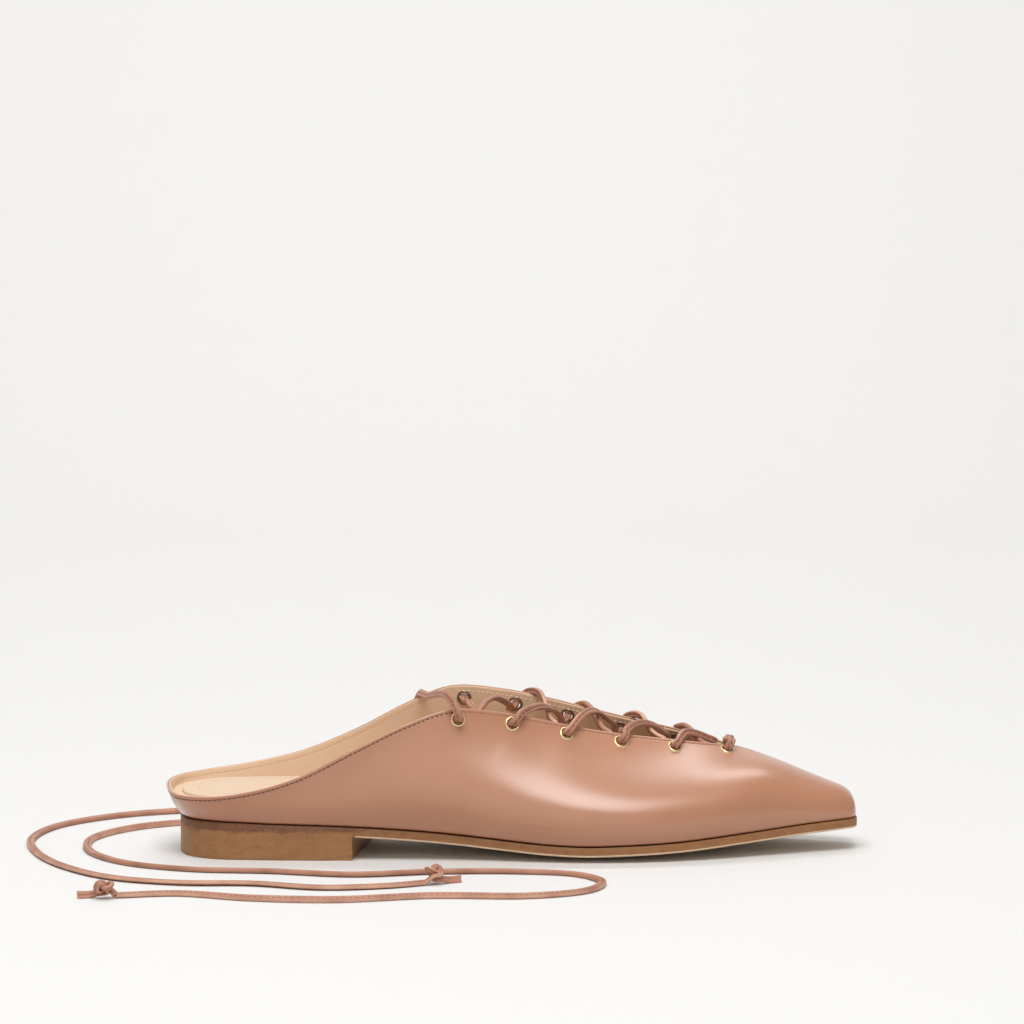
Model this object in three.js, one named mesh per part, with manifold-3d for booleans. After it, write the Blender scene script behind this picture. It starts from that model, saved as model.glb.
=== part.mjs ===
// A woman's backless lace-up flat with a snipped point toe, right foot.
// Millimetres. +X towards the toe, +Y towards the inner side of the foot, +Z up.
// The origin is on the floor, under the middle of the shoe's own box.
import * as THREE from "three";
import { mergeVertices } from "three/addons/utils/BufferGeometryUtils.js";
import Module from "manifold-3d";

const wasm = await Module();
wasm.setup();

// Driving dimensions
const LENGTH = 268; // collar back to toe tip
const SOLE_THICKNESS = 3.7;
const SOLE_MARGIN = 0.5; // how far the sole's edge stands out past the upper's foot
const WALL = 1.6; // leather and lining together
const GAP = 0.3; // between pieces that meet
const INSOLE_THICKNESS = 2.8; // under the ball of the foot
const INSOLE_GAP = 0.4;
const INSOLE_INSET = 3.1; // of its bottom, from the upper's foot
const INSOLE_FLARE = 0.32; // how much wider it gets for each millimetre up
const HEEL_BREAST_X = 72.5; // on the outer side, from the back of the collar
const HEEL_BREAST_SLANT = 9.5; // degrees, the inner side further forward
const HEEL_INSET = 0.15;
const HEEL_TALLEST = 11; // more than enough, before the sole is cut out of it
const EYELETS_A_SIDE = 6;
// From the back of the collar, and from the throat's edge to an eyelet's middle.
const EYELETS_OUTER = { first: 113.1, pitch: 21.05, inset: 4.2 };
const EYELETS_INNER = { first: 116.2, pitch: 20.5, inset: 5.2 };
const EYELET_RADIUS = 2.9;
const EYELET_BORE = 1.95;
const EYELET_BARREL = 2.3;
const EYELET_RIM = 0.4;
const EYELET_GAP = 0.55; // its flanges are flat and the wall is curved
const EYELET_HOLE = 2.7;
const DRILL_LENGTH = 10;
const LACE_RADIUS = 1.35; // a folded strip 3 wide and 2.1 thick, as a round cord
const LACE_SIDES = 8;
const LACE_GAP = 0.75; // between a lace's end and the eyelet that it comes out of
const BAR_LIFT = 4.6;
const KNOT_LENGTH = 8;
const KNOT_WIDTH = 6;
const TIP_LENGTH = 16; // from the knot's middle
const KNOT_OFF_FLOOR = 0.05;
// How high the two strands of each crossing stand at their middle, from the ankle to the toe.
const CROSSING_LIFT = [
  { upper: 5.5, lower: 3.6 },
  { upper: 3.5, lower: 1.6 },
  { upper: 3.5, lower: 1.6 },
  { upper: 3.5, lower: 1.6 },
  { upper: 3.0, lower: 1.2 },
];

// Where the shoe's own frame lies in the part's frame
const CENTRE = new THREE.Vector3(-LENGTH / 2, 1, 0);

// The ribs of the last, from the middle of the back round each side to the middle of the toe.
// A rib stands on the foot outline and ends at the topline, or past the throat on the ridge.
// foot_x, outer and inner: the foot outline, as half widths either side of the middle.
// top_x, top_outer, top_inner: where the rib ends, across the shoe (+ towards the inner side).
// z_outer, z_inner: its height there.
// lean: how far it sets out outwards, and tuck_outer, tuck_inner: how far it ends inwards, degrees.
const RIB_COLUMNS = [
  "foot_x", "outer", "inner", "top_x", "top_outer", "top_inner",
  "z_outer", "z_inner", "lean", "tuck_outer", "tuck_inner",
];
const RIBS = [
  [6.0, 0, 0, 0, 0, 0, 26.3, 26.3, 44, -20, -20],
  [7.0, 8.8, 8.6, 1.1, -11.0, 10.8, 25.4, 26.2, 44, -20, -20],
  [10.4, 16.4, 15.8, 4.2, -20.2, 19.6, 24.6, 26.2, 42, -20, -20],
  [18.5, 22.8, 21.8, 13, -27.6, 27.0, 24.5, 26.8, 40, -20, -20],
  [35, 26.0, 24.6, 31, -30.8, 30.0, 26.5, 29.2, 38, -16, -16],
  [53, 27.3, 24.6, 51.5, -31.6, 31.0, 32.4, 33.8, 38, -10, -10],
  [72, 28.0, 23.8, 73, -31.0, 31.0, 43.0, 42.4, 39, -4, -2],
  [90, 28.6, 22.8, 93, -28.4, 30.2, 52.4, 52.8, 42, 6, 4],
  [108, 29.6, 22.8, 111, -24.0, 28.0, 57.6, 60.0, 44, 16, 6],
  [126, 31.8, 25.0, 131, -19.4, 25.0, 55.5, 59.1, 43, 26, 8],
  [144, 35.0, 29.6, 149, -15.0, 21.6, 51.5, 55.9, 40, 34, 12],
  [162, 37.0, 33.6, 167, -11.2, 18.0, 47.5, 51.8, 38, 42, 20],
  [180, 36.8, 35.4, 185, -8.0, 14.2, 44.7, 47.9, 36, 47, 32],
  [198, 34.0, 34.4, 203, -4.8, 9.6, 42.3, 44.1, 33, 56, 52],
  [216, 28.8, 29.8, 223, 2.0, 2.0, 38.9, 38.9, 30, 76, 76],
  [233, 22.4, 23.0, 236, 1.2, 1.2, 34.5, 34.5, 26, 90, 90],
  [248, 16.6, 16.8, 247, 0.6, 0.6, 30.0, 30.0, 22, 90, 90],
  [259.5, 12.4, 12.4, 254.5, 0.2, 0.2, 27.0, 27.0, 17, 90, 90],
  [266.2, 8.6, 8.6, 258.6, 0, 0, 25.3, 25.3, 12, 90, 90],
  [267.6, 0, 0, 260.6, 0, 0, 24.5, 24.5, 6, 90, 90],
].map((row) => Object.fromEntries(row.map((value, i) => [RIB_COLUMNS[i], value])));
const THROAT_RIB = 14; // the rib where the throat closes
const MIRRORED = new Set(["outer", "inner", "top_outer", "top_inner"]);

// The sole's top along its edge, and how much lower the middle of the sole lies there.
const SOLE_COLUMNS = ["x", "edge_z", "crown"];
const SOLE = [
  [0, 14.2, 0],
  [20, 14.3, 0],
  [38, 13.7, 0],
  [72, 12.6, 0],
  [94, 11.3, 0.3],
  [112, 9.8, 0.9],
  [131, 7.9, 2.0],
  [148, 6.5, 2.9],
  [160, 6.05, 3.1],
  [176, 6.4, 2.9],
  [196, 7.2, 2.0],
  [223, 9.3, 1.2],
  [250, 11.4, 0.6],
  [268, 12.4, 0.3],
].map((row) => Object.fromEntries(row.map((value, i) => [SOLE_COLUMNS[i], value])));

// The heel pad inside the insole: x, and how much it adds to the thickness.
const HEEL_PAD = [
  [0, 6.8], [20, 6.9], [38, 7.6], [52, 7.9], [72, 7.0], [95, 4.4], [120, 1.4], [145, 0], [268, 0],
];

// The two free ties, 0.74 m each from the top eyelet to the tip, as they lie on the floor.
// The outer one crosses the opening and falls down the inner wall, then both go round the heel.
const TIE_ROUTES = {
  outer: [
    [-20.8, -26.7, 54.1], [-21.2, -28.6, 57.4], [-22.4, -27.9, 61.4], [-24.9, -23.2, 64.4], [-28.2, -16.6, 64.2],
    [-32.4, -8, 60.8], [-36.4, 0.5, 56.8], [-40.5, 10.3, 53.6], [-44.5, 20, 52.8], [-47.8, 28.4, 51.9],
    [-50.4, 34, 48.9], [-52.2, 36, 43.2], [-53.6, 36, 35], [-54.8, 35.8, 26], [-56.8, 36.6, 16.5],
    [-59.8, 39.6, 8.6], [-64.6, 43.8, 3.6], [-71.6, 48.4, 1.9], [-92, 57, 1.5], [-121, 58, 1.5],
    [-148, 45, 1.5], [-164, 20, 1.5], [-163, -9, 1.5], [-148, -34, 1.5], [-122, -49, 1.5],
    [-92, -54, 1.5], [-61, -62, 1.5], [-30, -57, 1.5], [0, -57, 1.5], [22, -63, 1.5],
    [31, -78, 1.5], [25, -96, 1.5], [4, -106, 1.5], [-32, -105, 1.5], [-67, -112, 1.5],
    [-97, -108, 1.5], [-124, -98, 1.5], [-146, -101, 1.5],
  ],
  inner: [
    [-17.7, 31.5, 55.4], [-18, 33.2, 52], [-18.5, 34.6, 48], [-19.3, 35.4, 42], [-20.2, 35.8, 34],
    [-21, 36, 26], [-22, 36.4, 18], [-23.4, 38, 11], [-24.8, 41.2, 5.4], [-25.6, 46.4, 2.2],
    [-22, 55, 1.6], [-12, 60, 1.5], [4, 62, 1.5], [30, 61, 1.5], [54, 64, 1.5], [70, 72, 1.5],
    [74, 84, 1.5], [64, 94, 1.5], [42, 97, 1.5], [12, 95, 1.5], [-22, 92, 1.5], [-58, 89, 1.5],
    [-94, 88, 1.5], [-128, 85, 1.5], [-158, 73, 1.5], [-180, 50, 1.5], [-188, 20, 1.5],
    [-183, -12, 1.5], [-170, -42, 1.5], [-150, -66, 1.5], [-124, -77, 1.5], [-98, -79, 1.5],
    [-72, -88, 1.5], [-48, -85, 1.5], [-34, -79, 1.5],
  ],
};

// Steps of each mesh
const STEPS_A_RIB = 2; // columns between two ribs of the table
const RIB_STEPS = 9;
const OUTSOLE_STEPS = 3; // from the outline to the middle
const INSOLE_STEPS = 2;
const EYELET_SIDES = 8;
const STRAND_STEPS = 7;
const TIE_STEPS_A_POINT = 2;
const TIP_STEPS = 4;
const KNOT_SIDES = 10;
const KNOT_RINGS = 6;
const SPINE_BACK = 26; // where the middle line of a slab starts and ends
const SPINE_FRONT = 256;

// A smooth curve through values at rising knots, with parabolic slopes.
function curveThrough(knots, values) {
  const last = knots.length - 1;
  const slope = (i) => {
    if (i === 0 || i === last) {
      const a = i === 0 ? 0 : last - 1;
      return (values[a + 1] - values[a]) / (knots[a + 1] - knots[a]);
    }
    const before = knots[i] - knots[i - 1];
    const after = knots[i + 1] - knots[i];
    const left = (values[i] - values[i - 1]) / before;
    const right = (values[i + 1] - values[i]) / after;
    return (left * after + right * before) / (before + after);
  };
  return (at) => {
    let i = 0;
    while (i < last - 1 && at > knots[i + 1]) i += 1;
    const span = knots[i + 1] - knots[i];
    const s = Math.min(1, Math.max(0, (at - knots[i]) / span));
    const s2 = s * s;
    const s3 = s2 * s;
    return (
      (2 * s3 - 3 * s2 + 1) * values[i] +
      (s3 - 2 * s2 + s) * span * slope(i) +
      (3 * s2 - 2 * s3) * values[i + 1] +
      (s3 - s2) * span * slope(i + 1)
    );
  };
}

// The columns of the rib table as curves of the distance along the foot outline.
// Both ends of the table are mirrored across the middle, so the outline rounds off there.
function ribCurves() {
  const before = RIBS[1];
  const after = RIBS[RIBS.length - 2];
  const mirror = (row) =>
    Object.fromEntries(RIB_COLUMNS.map((c) => [c, MIRRORED.has(c) ? -row[c] : row[c]]));
  const rows = [mirror(before), ...RIBS, mirror(after)];
  const knots = [0];
  for (let i = 1; i < rows.length; i += 1) {
    const dx = rows[i].foot_x - rows[i - 1].foot_x;
    const dy = (rows[i].outer + rows[i].inner - rows[i - 1].outer - rows[i - 1].inner) / 2;
    knots.push(knots[i - 1] + Math.hypot(dx, dy));
  }
  const curves = {};
  for (const column of RIB_COLUMNS) {
    curves[column] = curveThrough(knots, rows.map((row) => row[column]));
  }
  return { curves, knots: knots.slice(1, -1) };
}
const { curves: RIB, knots: RIB_KNOTS } = ribCurves();
const START = RIB_KNOTS[0];
const THROAT = RIB_KNOTS[THROAT_RIB];
const END = RIB_KNOTS[RIB_KNOTS.length - 1];
const OUTER = -1; // the side of the little toe
const INNER = 1;
const TINY_STEP = 0.05; // along the outline, to find its direction

const SOLE_X = SOLE.map((row) => row.x);
const soleEdge = curveThrough(SOLE_X, SOLE.map((row) => row.edge_z));
const soleCrown = curveThrough(SOLE_X, SOLE.map((row) => row.crown));

const heelPad = curveThrough(HEEL_PAD.map((row) => row[0]), HEEL_PAD.map((row) => row[1]));
const insoleThickness = (x) => INSOLE_THICKNESS + heelPad(x);

// Half the width of the foot outline at x, on one side, by looking along the ribs.
function halfWidth(side, x) {
  const column = side === OUTER ? RIB.outer : RIB.inner;
  let low = START;
  let high = END;
  for (let i = 0; i < 30; i += 1) {
    const middle = (low + high) / 2;
    if (RIB.foot_x(middle) < x) low = middle;
    else high = middle;
  }
  return Math.max(1, column((low + high) / 2));
}

// The height of the sole's top at a point of the shoe.
function soleTop(x, y) {
  const share = Math.min(1, Math.abs(y) / (halfWidth(Math.sign(y) || OUTER, x) + SOLE_MARGIN));
  return soleEdge(x) - soleCrown(x) * (1 - share * share);
}

// The foot outline: a point and the direction inwards, level.
function outline(side, at) {
  const column = side === OUTER ? RIB.outer : RIB.inner;
  const point = (s) => new THREE.Vector2(RIB.foot_x(s), side * column(s));
  const along = point(at + TINY_STEP).sub(point(at - TINY_STEP)).normalize();
  const inward = new THREE.Vector2(along.y, -along.x).multiplyScalar(side);
  return { point: point(at), inward };
}

const radians = THREE.MathUtils.degToRad;
const clamp = THREE.MathUtils.clamp;

const FULLNESS = 0.42; // of a rib: how far its handles reach, as a share of its chord
const SIDEWAYS = radians(40); // a rib tucked in this far arrives straight across the shoe
const CREST = { from: radians(60), to: radians(90) }; // ribs tucked in this far follow the ridge

// One rib of the upper's outer face, as a cubic curve.
function rib(side, at) {
  const closed = at >= THROAT;
  const mean = (a, b) => (a(at) + b(at)) / 2;
  const own = (a, b) => (side === OUTER ? a(at) : b(at));
  const pick = closed ? mean : own;
  const { point, inward } = outline(side, at);
  const foot = new THREE.Vector3(point.x, point.y, soleTop(point.x, point.y) + GAP);
  const top = new THREE.Vector3(
    RIB.top_x(at), pick(RIB.top_outer, RIB.top_inner), pick(RIB.z_outer, RIB.z_inner));
  const lean = radians(RIB.lean(at));
  const tuck = radians(own(RIB.tuck_outer, RIB.tuck_inner));
  const reach = foot.distanceTo(top);
  const setOut = new THREE.Vector3(
    -inward.x * Math.sin(lean), -inward.y * Math.sin(lean), Math.cos(lean));
  const towards = new THREE.Vector2(top.x - foot.x, top.y - foot.y).normalize();
  const share = clamp(tuck / SIDEWAYS, 0, 1);
  const across = inward.clone().lerp(towards, share).normalize();
  const [before, after] = [Math.max(START, at - 1), Math.min(END, at + 1)];
  const fall = (RIB.z_inner(after) - RIB.z_inner(before)) / (RIB.top_x(after) - RIB.top_x(before));
  const onCrest = clamp((tuck - CREST.from) / (CREST.to - CREST.from), 0, 1);
  const ridge = onCrest * fall * across.x;
  const arrive = new THREE.Vector3(
    across.x * Math.sin(tuck), across.y * Math.sin(tuck), Math.cos(tuck) + ridge).normalize();
  return new THREE.CubicBezierCurve3(
    foot,
    foot.clone().addScaledVector(setOut, reach * FULLNESS),
    top.clone().addScaledVector(arrive, -reach * FULLNESS),
    top,
  );
}

// Distances along the outline for the mesh's columns, the throat's rib among them.
function meshColumns() {
  const found = [];
  for (let i = 0; i < RIB_KNOTS.length - 1; i += 1) {
    for (let j = 0; j < STEPS_A_RIB; j += 1) {
      found.push(THREE.MathUtils.lerp(RIB_KNOTS[i], RIB_KNOTS[i + 1], j / STEPS_A_RIB));
    }
  }
  return [...found, END];
}
const COLUMNS = meshColumns();
const LAST = COLUMNS.length - 1;

function indexed(points, index) {
  const flat = new Float32Array(points.length * 3);
  points.forEach((p, i) => p.toArray(flat, i * 3));
  const geometry = new THREE.BufferGeometry();
  geometry.setAttribute("position", new THREE.BufferAttribute(flat, 3));
  geometry.setIndex(index);
  geometry.computeVertexNormals();
  return geometry;
}

// Two triangles for a four-sided face, turned over on the inner side of the foot.
function face(index, side, quad) {
  const [a, b, c, d] = side === INNER ? [...quad].reverse() : quad;
  index.push(a, b, c, a, c, d);
}

function toSolid(geometry) {
  const bare = geometry.clone();
  for (const name of Object.keys(bare.attributes)) {
    if (name !== "position") bare.deleteAttribute(name);
  }
  const joined = mergeVertices(bare, 1e-3);
  return new wasm.Manifold(new wasm.Mesh({
    numProp: 3,
    vertProperties: new Float32Array(joined.attributes.position.array),
    triVerts: new Uint32Array(joined.index.array),
  }));
}

function toGeometry(solid) {
  const mesh = solid.getMesh();
  const geometry = new THREE.BufferGeometry();
  geometry.setAttribute("position", new THREE.BufferAttribute(new Float32Array(mesh.vertProperties), 3));
  geometry.setIndex(new THREE.BufferAttribute(new Uint32Array(mesh.triVerts), 1));
  geometry.computeVertexNormals();
  return geometry;
}

// The upper's wall: an outer and an inner face, joined at the topline and along the foot.
function upperShell() {
  const rows = RIB_STEPS + 1;
  const sideSize = COLUMNS.length * rows;
  const shellSize = 2 * sideSize;
  const isClosed = (i) => COLUMNS[i] >= THROAT;
  // The number of a point, shared where the two sides meet: at the back, the toe and the ridge.
  const number = (side, i, j) => {
    const shared = i === 0 || i === LAST || (isClosed(i) && j === RIB_STEPS);
    return (side === INNER && !shared ? sideSize : 0) + i * rows + j;
  };
  const points = new Array(shellSize).fill(new THREE.Vector3());
  const skin = [];
  for (const side of [INNER, OUTER]) {
    COLUMNS.forEach((at, i) => {
      rib(side, at).getPoints(RIB_STEPS).forEach((p, j) => {
        points[number(side, i, j)] = p;
      });
    });
    for (let i = 0; i < LAST; i += 1) {
      for (let j = 0; j < RIB_STEPS; j += 1) {
        const corners = [[i, j], [i + 1, j], [i + 1, j + 1], [i, j + 1]];
        face(skin, side, corners.map(([c, r]) => number(side, c, r)));
      }
    }
  }
  const normals = indexed(points, skin).attributes.normal;
  const lining = points.map((p, i) =>
    p.clone().addScaledVector(new THREE.Vector3().fromBufferAttribute(normals, i), -WALL));
  const index = [...skin];
  for (let i = 0; i < skin.length; i += 3) {
    index.push(skin[i] + shellSize, skin[i + 2] + shellSize, skin[i + 1] + shellSize);
  }
  for (const side of [INNER, OUTER]) {
    COLUMNS.forEach((at, i) => {
      const { inward } = outline(side, at);
      const inset = WALL / Math.cos(radians(RIB.lean(at)));
      const foot = points[number(side, i, 0)];
      lining[number(side, i, 0)] = new THREE.Vector3(
        foot.x + inward.x * inset, foot.y + inward.y * inset, foot.z);
    });
    for (let i = 0; i < LAST; i += 1) {
      const [p, q] = [number(side, i, 0), number(side, i + 1, 0)];
      face(index, side, [q, p, p + shellSize, q + shellSize]);
      if (!isClosed(i)) {
        const [v, w] = [number(side, i, RIB_STEPS), number(side, i + 1, RIB_STEPS)];
        face(index, side, [v, w, w + shellSize, v + shellSize]);
      }
    }
  }
  return indexed([...points, ...lining], index);
}

// A slab that follows the foot outline: the outsole and the insole.
// Its rows run across the shoe. The insets go from the foot outline inwards, and vary along it.
function slab({ steps, insetBottom, insetTop, bottomAt, topAt }) {
  const acrossSteps = 2 * steps;
  const rowSize = acrossSteps + 1;
  const rowOf = (at, inset, heightAt) => {
    const [outer, inner] = [OUTER, INNER].map((side) => {
      const { point, inward } = outline(side, at);
      return point.addScaledVector(inward, inset(point.x));
    });
    if (at === START || at === END) [outer, inner].forEach((edge) => edge.setY(0));
    const spine = clamp((outer.x + inner.x) / 2, SPINE_BACK, SPINE_FRONT);
    const middle = new THREE.Vector2(spine, 0);
    return Array.from({ length: rowSize }, (_, j) => {
      const share = j / steps;
      const p = share < 1 ? outer.clone().lerp(middle, share) : middle.clone().lerp(inner, share - 1);
      return new THREE.Vector3(p.x, p.y, heightAt(p.x, p.y));
    });
  };
  const rows = (inset, heightAt) => COLUMNS.flatMap((at) => rowOf(at, inset, heightAt));
  const points = [...rows(insetTop, topAt), ...rows(insetBottom, bottomAt)];
  const layer = COLUMNS.length * rowSize;
  // The first and last rows double back on themselves, so their halves share points.
  const number = (i, j) => {
    const folded = (i === 0 || i === LAST) && j > steps ? acrossSteps - j : j;
    return i * rowSize + folded;
  };
  const index = [];
  for (let i = 0; i < LAST; i += 1) {
    for (let j = 0; j < acrossSteps; j += 1) {
      const quad = [[i, j], [i + 1, j], [i + 1, j + 1], [i, j + 1]].map(([r, c]) => number(r, c));
      face(index, OUTER, quad);
      face(index, INNER, quad.map((k) => k + layer));
    }
    const [p, q] = [number(i, 0), number(i + 1, 0)];
    face(index, OUTER, [p + layer, q + layer, q, p]);
    const [v, w] = [number(i, acrossSteps), number(i + 1, acrossSteps)];
    face(index, INNER, [v + layer, w + layer, w, v]);
  }
  return indexed(points, index);
}

function outsole() {
  return slab({
    steps: OUTSOLE_STEPS,
    insetBottom: () => -SOLE_MARGIN,
    insetTop: () => -SOLE_MARGIN,
    bottomAt: (x, y) => Math.max(0, soleTop(x, y) - SOLE_THICKNESS),
    topAt: soleTop,
  });
}

function insole() {
  return slab({
    steps: INSOLE_STEPS,
    insetBottom: () => INSOLE_INSET,
    insetTop: (x) => INSOLE_INSET - INSOLE_FLARE * insoleThickness(x),
    bottomAt: (x, y) => soleTop(x, y) + INSOLE_GAP,
    topAt: (x, y) => soleTop(x, y) + INSOLE_GAP + insoleThickness(x),
  });
}

// The heel: the sole's outline pulled down to the floor, cut off at the breast.
function heel() {
  const shape = new THREE.Shape();
  const pastBreast = HEEL_BREAST_X + HEEL_TALLEST * 3;
  const columns = COLUMNS.filter((at) => RIB.foot_x(at) < pastBreast);
  const rim = [OUTER, INNER].map((side) => columns.map((at) => {
    const { point, inward } = outline(side, at);
    return point.addScaledVector(inward, HEEL_INSET - SOLE_MARGIN);
  }));
  const loop = [...rim[0].slice(1).reverse(), ...rim[1]];
  shape.setFromPoints(loop);
  const extrusion = { depth: HEEL_TALLEST, bevelEnabled: false, steps: 1 };
  const block = toSolid(new THREE.ExtrudeGeometry(shape, extrusion));
  const size = LENGTH / 2;
  const cutter = new THREE.BoxGeometry(size, size, size);
  cutter.translate(size / 2, 0, 0);
  cutter.rotateZ(-radians(HEEL_BREAST_SLANT));
  const outerHalf = halfWidth(OUTER, HEEL_BREAST_X);
  cutter.translate(HEEL_BREAST_X + outerHalf * Math.tan(radians(HEEL_BREAST_SLANT)), 0, 0);
  const above = toSolid(outsole()).translate([0, 0, -GAP]);
  return toGeometry(block.subtract(toSolid(cutter)).subtract(above));
}

// The distance along the outline at which the ribs end at a given x.
function ribAtTopX(x) {
  let low = START;
  let high = THROAT;
  for (let i = 0; i < 40; i += 1) {
    const middle = (low + high) / 2;
    if (RIB.top_x(middle) < x) low = middle;
    else high = middle;
  }
  return (low + high) / 2;
}

// An eyelet's seat in the wall: its middle on the outer face, outward normal and way to the edge.
function eyeletSeat(side, number) {
  const { first, pitch, inset } = side === OUTER ? EYELETS_OUTER : EYELETS_INNER;
  const at = ribAtTopX(first + pitch * (number - 1));
  const pointFrom = (along) => {
    const curve = rib(side, along);
    return curve.getPointAt(1 - inset / curve.getLength());
  };
  const middle = pointFrom(at);
  const curve = rib(side, at);
  const edge = curve.getPoint(1);
  const up = edge.clone().sub(middle).normalize();
  const ahead = pointFrom(at + 0.5).sub(pointFrom(at - 0.5)).normalize();
  const normal = new THREE.Vector3().crossVectors(ahead, up).normalize();
  if (normal.y * side + normal.z < 0) normal.negate();
  return { middle, normal, up, ahead, inset };
}

function turnedTo(geometry, direction, place) {
  const turn = new THREE.Quaternion().setFromUnitVectors(new THREE.Vector3(0, 1, 0), direction);
  geometry.applyQuaternion(turn);
  geometry.translate(place.x, place.y, place.z);
  return geometry;
}

// A two-flanged eyelet, set on the wall's middle.
function eyelet(seat) {
  const half = WALL / 2 + EYELET_GAP;
  const rim = half + EYELET_RIM;
  const profile = [
    [EYELET_BORE, -rim], [EYELET_RADIUS, -rim], [EYELET_RADIUS, -half], [EYELET_BARREL, -half],
    [EYELET_BARREL, half], [EYELET_RADIUS, half], [EYELET_RADIUS, rim], [EYELET_BORE, rim],
    [EYELET_BORE, -rim],
  ].map(([r, h]) => new THREE.Vector2(r, h));
  const ring = new THREE.LatheGeometry(profile, EYELET_SIDES);
  const place = seat.middle.clone().addScaledVector(seat.normal, -WALL / 2);
  return turnedTo(ring, seat.normal, place);
}

function eyeletHole(seat) {
  const drill = new THREE.CylinderGeometry(EYELET_HOLE, EYELET_HOLE, DRILL_LENGTH, EYELET_SIDES);
  return toSolid(turnedTo(drill, seat.normal, seat.middle));
}

// A route whose steps follow its points, which lie closer together where it bends.
class Route extends THREE.CatmullRomCurve3 {
  getPointAt(share, target) {
    return this.getPoint(share, target);
  }

  getTangentAt(share, target) {
    return this.getTangent(share, target);
  }
}

// A cord's tube along a route.
function tube(points, steps) {
  const shape = new THREE.Shape();
  shape.setFromPoints(Array.from({ length: LACE_SIDES }, (_, i) => {
    const turn = (2 * Math.PI * i) / LACE_SIDES;
    return new THREE.Vector2(LACE_RADIUS * Math.cos(turn), LACE_RADIUS * Math.sin(turn));
  }));
  const extrudePath = new Route(points);
  return new THREE.ExtrudeGeometry(shape, { steps, extrudePath, bevelEnabled: false });
}

// A point beside an eyelet: out of the wall, up towards the edge and ahead towards the toe.
function beside(seat, out, up = 0, ahead = 0) {
  return seat.middle.clone()
    .addScaledVector(seat.normal, out)
    .addScaledVector(seat.up, up)
    .addScaledVector(seat.ahead, ahead);
}

// Where a lace ends off an eyelet, outside and inside the wall, and how far in it hangs there.
const LACE_OUTSIDE = EYELET_GAP + EYELET_RIM + LACE_GAP;
const LACE_INSIDE = -WALL - LACE_OUTSIDE;
const LACE_BELOW = LACE_INSIDE - 3.2;
const BEND_OUT = 3.1; // how far out of the wall a lace bends once it has left an eyelet
const BEND_UP = 0.6;
// A strand's two points at the throat's edge: out of the wall, past the edge and ahead.
const EDGE_POINTS = [[1.7, 1.4, 2.6], [-1.4, 2.9, 5.2]];

// A strand that leaves an eyelet outside, passes over the throat's edge and ends inside the
// opposite eyelet of the next row. lift: how high its middle stands over the straight line.
function strandOver(from, to, lift) {
  const edge = EDGE_POINTS.map(([out, past, ahead]) => beside(from, out, from.inset + past, ahead));
  const under = beside(to, LACE_BELOW, BEND_UP, -BEND_UP);
  const middle = edge[1].clone().lerp(under, 0.5);
  middle.z += lift;
  const bend = beside(from, BEND_OUT, BEND_UP, BEND_UP);
  return [beside(from, LACE_OUTSIDE), bend, ...edge, middle, under, beside(to, LACE_INSIDE)];
}

// A strand from the inside of one eyelet to the inside of the opposite one in the next row.
function strandInside(from, to, lift) {
  const leave = beside(from, LACE_BELOW, BEND_UP, 1);
  const arrive = beside(to, LACE_BELOW, BEND_UP, -1);
  const middle = leave.clone().lerp(arrive, 0.5);
  middle.z += lift;
  return [beside(from, LACE_INSIDE), leave, middle, arrive, beside(to, LACE_INSIDE)];
}

// The two strands of one crossing, joined where they cross.
function crossing(row) {
  const [outer, outerNext] = [seats[OUTER][row - 1], seats[OUTER][row]];
  const [inner, innerNext] = [seats[INNER][row - 1], seats[INNER][row]];
  const strand = row === 1 ? strandInside : strandOver;
  const { upper: above, lower: below } = CROSSING_LIFT[row - 1];
  const first = toSolid(tube(strand(outer, innerNext, above), STRAND_STEPS));
  return toGeometry(first.add(toSolid(tube(strand(inner, outerNext, below), STRAND_STEPS))));
}

// The knot at a tie's end, with the short tip of lace that sticks out of it.
function knot(route) {
  const [before, end] = route.slice(-2).map((p) => new THREE.Vector3(...p));
  const along = end.clone().sub(before).setZ(0).normalize();
  const body = new THREE.SphereGeometry(KNOT_WIDTH / 2, KNOT_SIDES, KNOT_RINGS);
  body.scale(KNOT_LENGTH / KNOT_WIDTH, 1, 1);
  body.rotateZ(Math.atan2(along.y, along.x));
  const middle = end.clone().addScaledVector(along, KNOT_LENGTH / 2 + GAP);
  middle.setZ(KNOT_WIDTH / 2 + KNOT_OFF_FLOOR);
  body.translate(middle.x, middle.y, middle.z);
  const heights = [middle.z, 2.2, end.z, end.z];
  const tip = [0.5, 5, 9, TIP_LENGTH].map((reach, i) =>
    middle.clone().addScaledVector(along, reach).setZ(heights[i]));
  return toGeometry(toSolid(body).add(toSolid(tube(tip, TIP_STEPS))));
}

// The bar across the throat's tip, where the lacing starts.
function bar() {
  const [outer, inner] = [seats[OUTER][EYELETS_A_SIDE - 1], seats[INNER][EYELETS_A_SIDE - 1]];
  const middle = outer.middle.clone().lerp(inner.middle, 0.5);
  middle.z += BAR_LIFT;
  const [start, end] = [outer, inner].map((seat) => beside(seat, LACE_OUTSIDE));
  const [rise, fall] = [outer, inner].map((seat) => beside(seat, BEND_OUT + 0.3, BEND_UP + 0.3));
  return tube([start, rise, middle, fall, end], STRAND_STEPS);
}

// Materials, in the colours of the shoe.
const finish = (color, roughness, metalness = 0) =>
  new THREE.MeshStandardMaterial({ color, roughness, metalness });
const TAN_CALF = finish(0xc18a6c, 0.42);
const LACE_CALF = finish(0xb9866f, 0.5);
const SOLE_LEATHER = finish(0x9b6a45, 0.6);
const FOOTBED_LEATHER = finish(0xe6ccb2, 0.65);
const GOLD = finish(0xe3c987, 0.25, 1);

const shoe = new THREE.Group();
shoe.position.copy(CENTRE);

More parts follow.
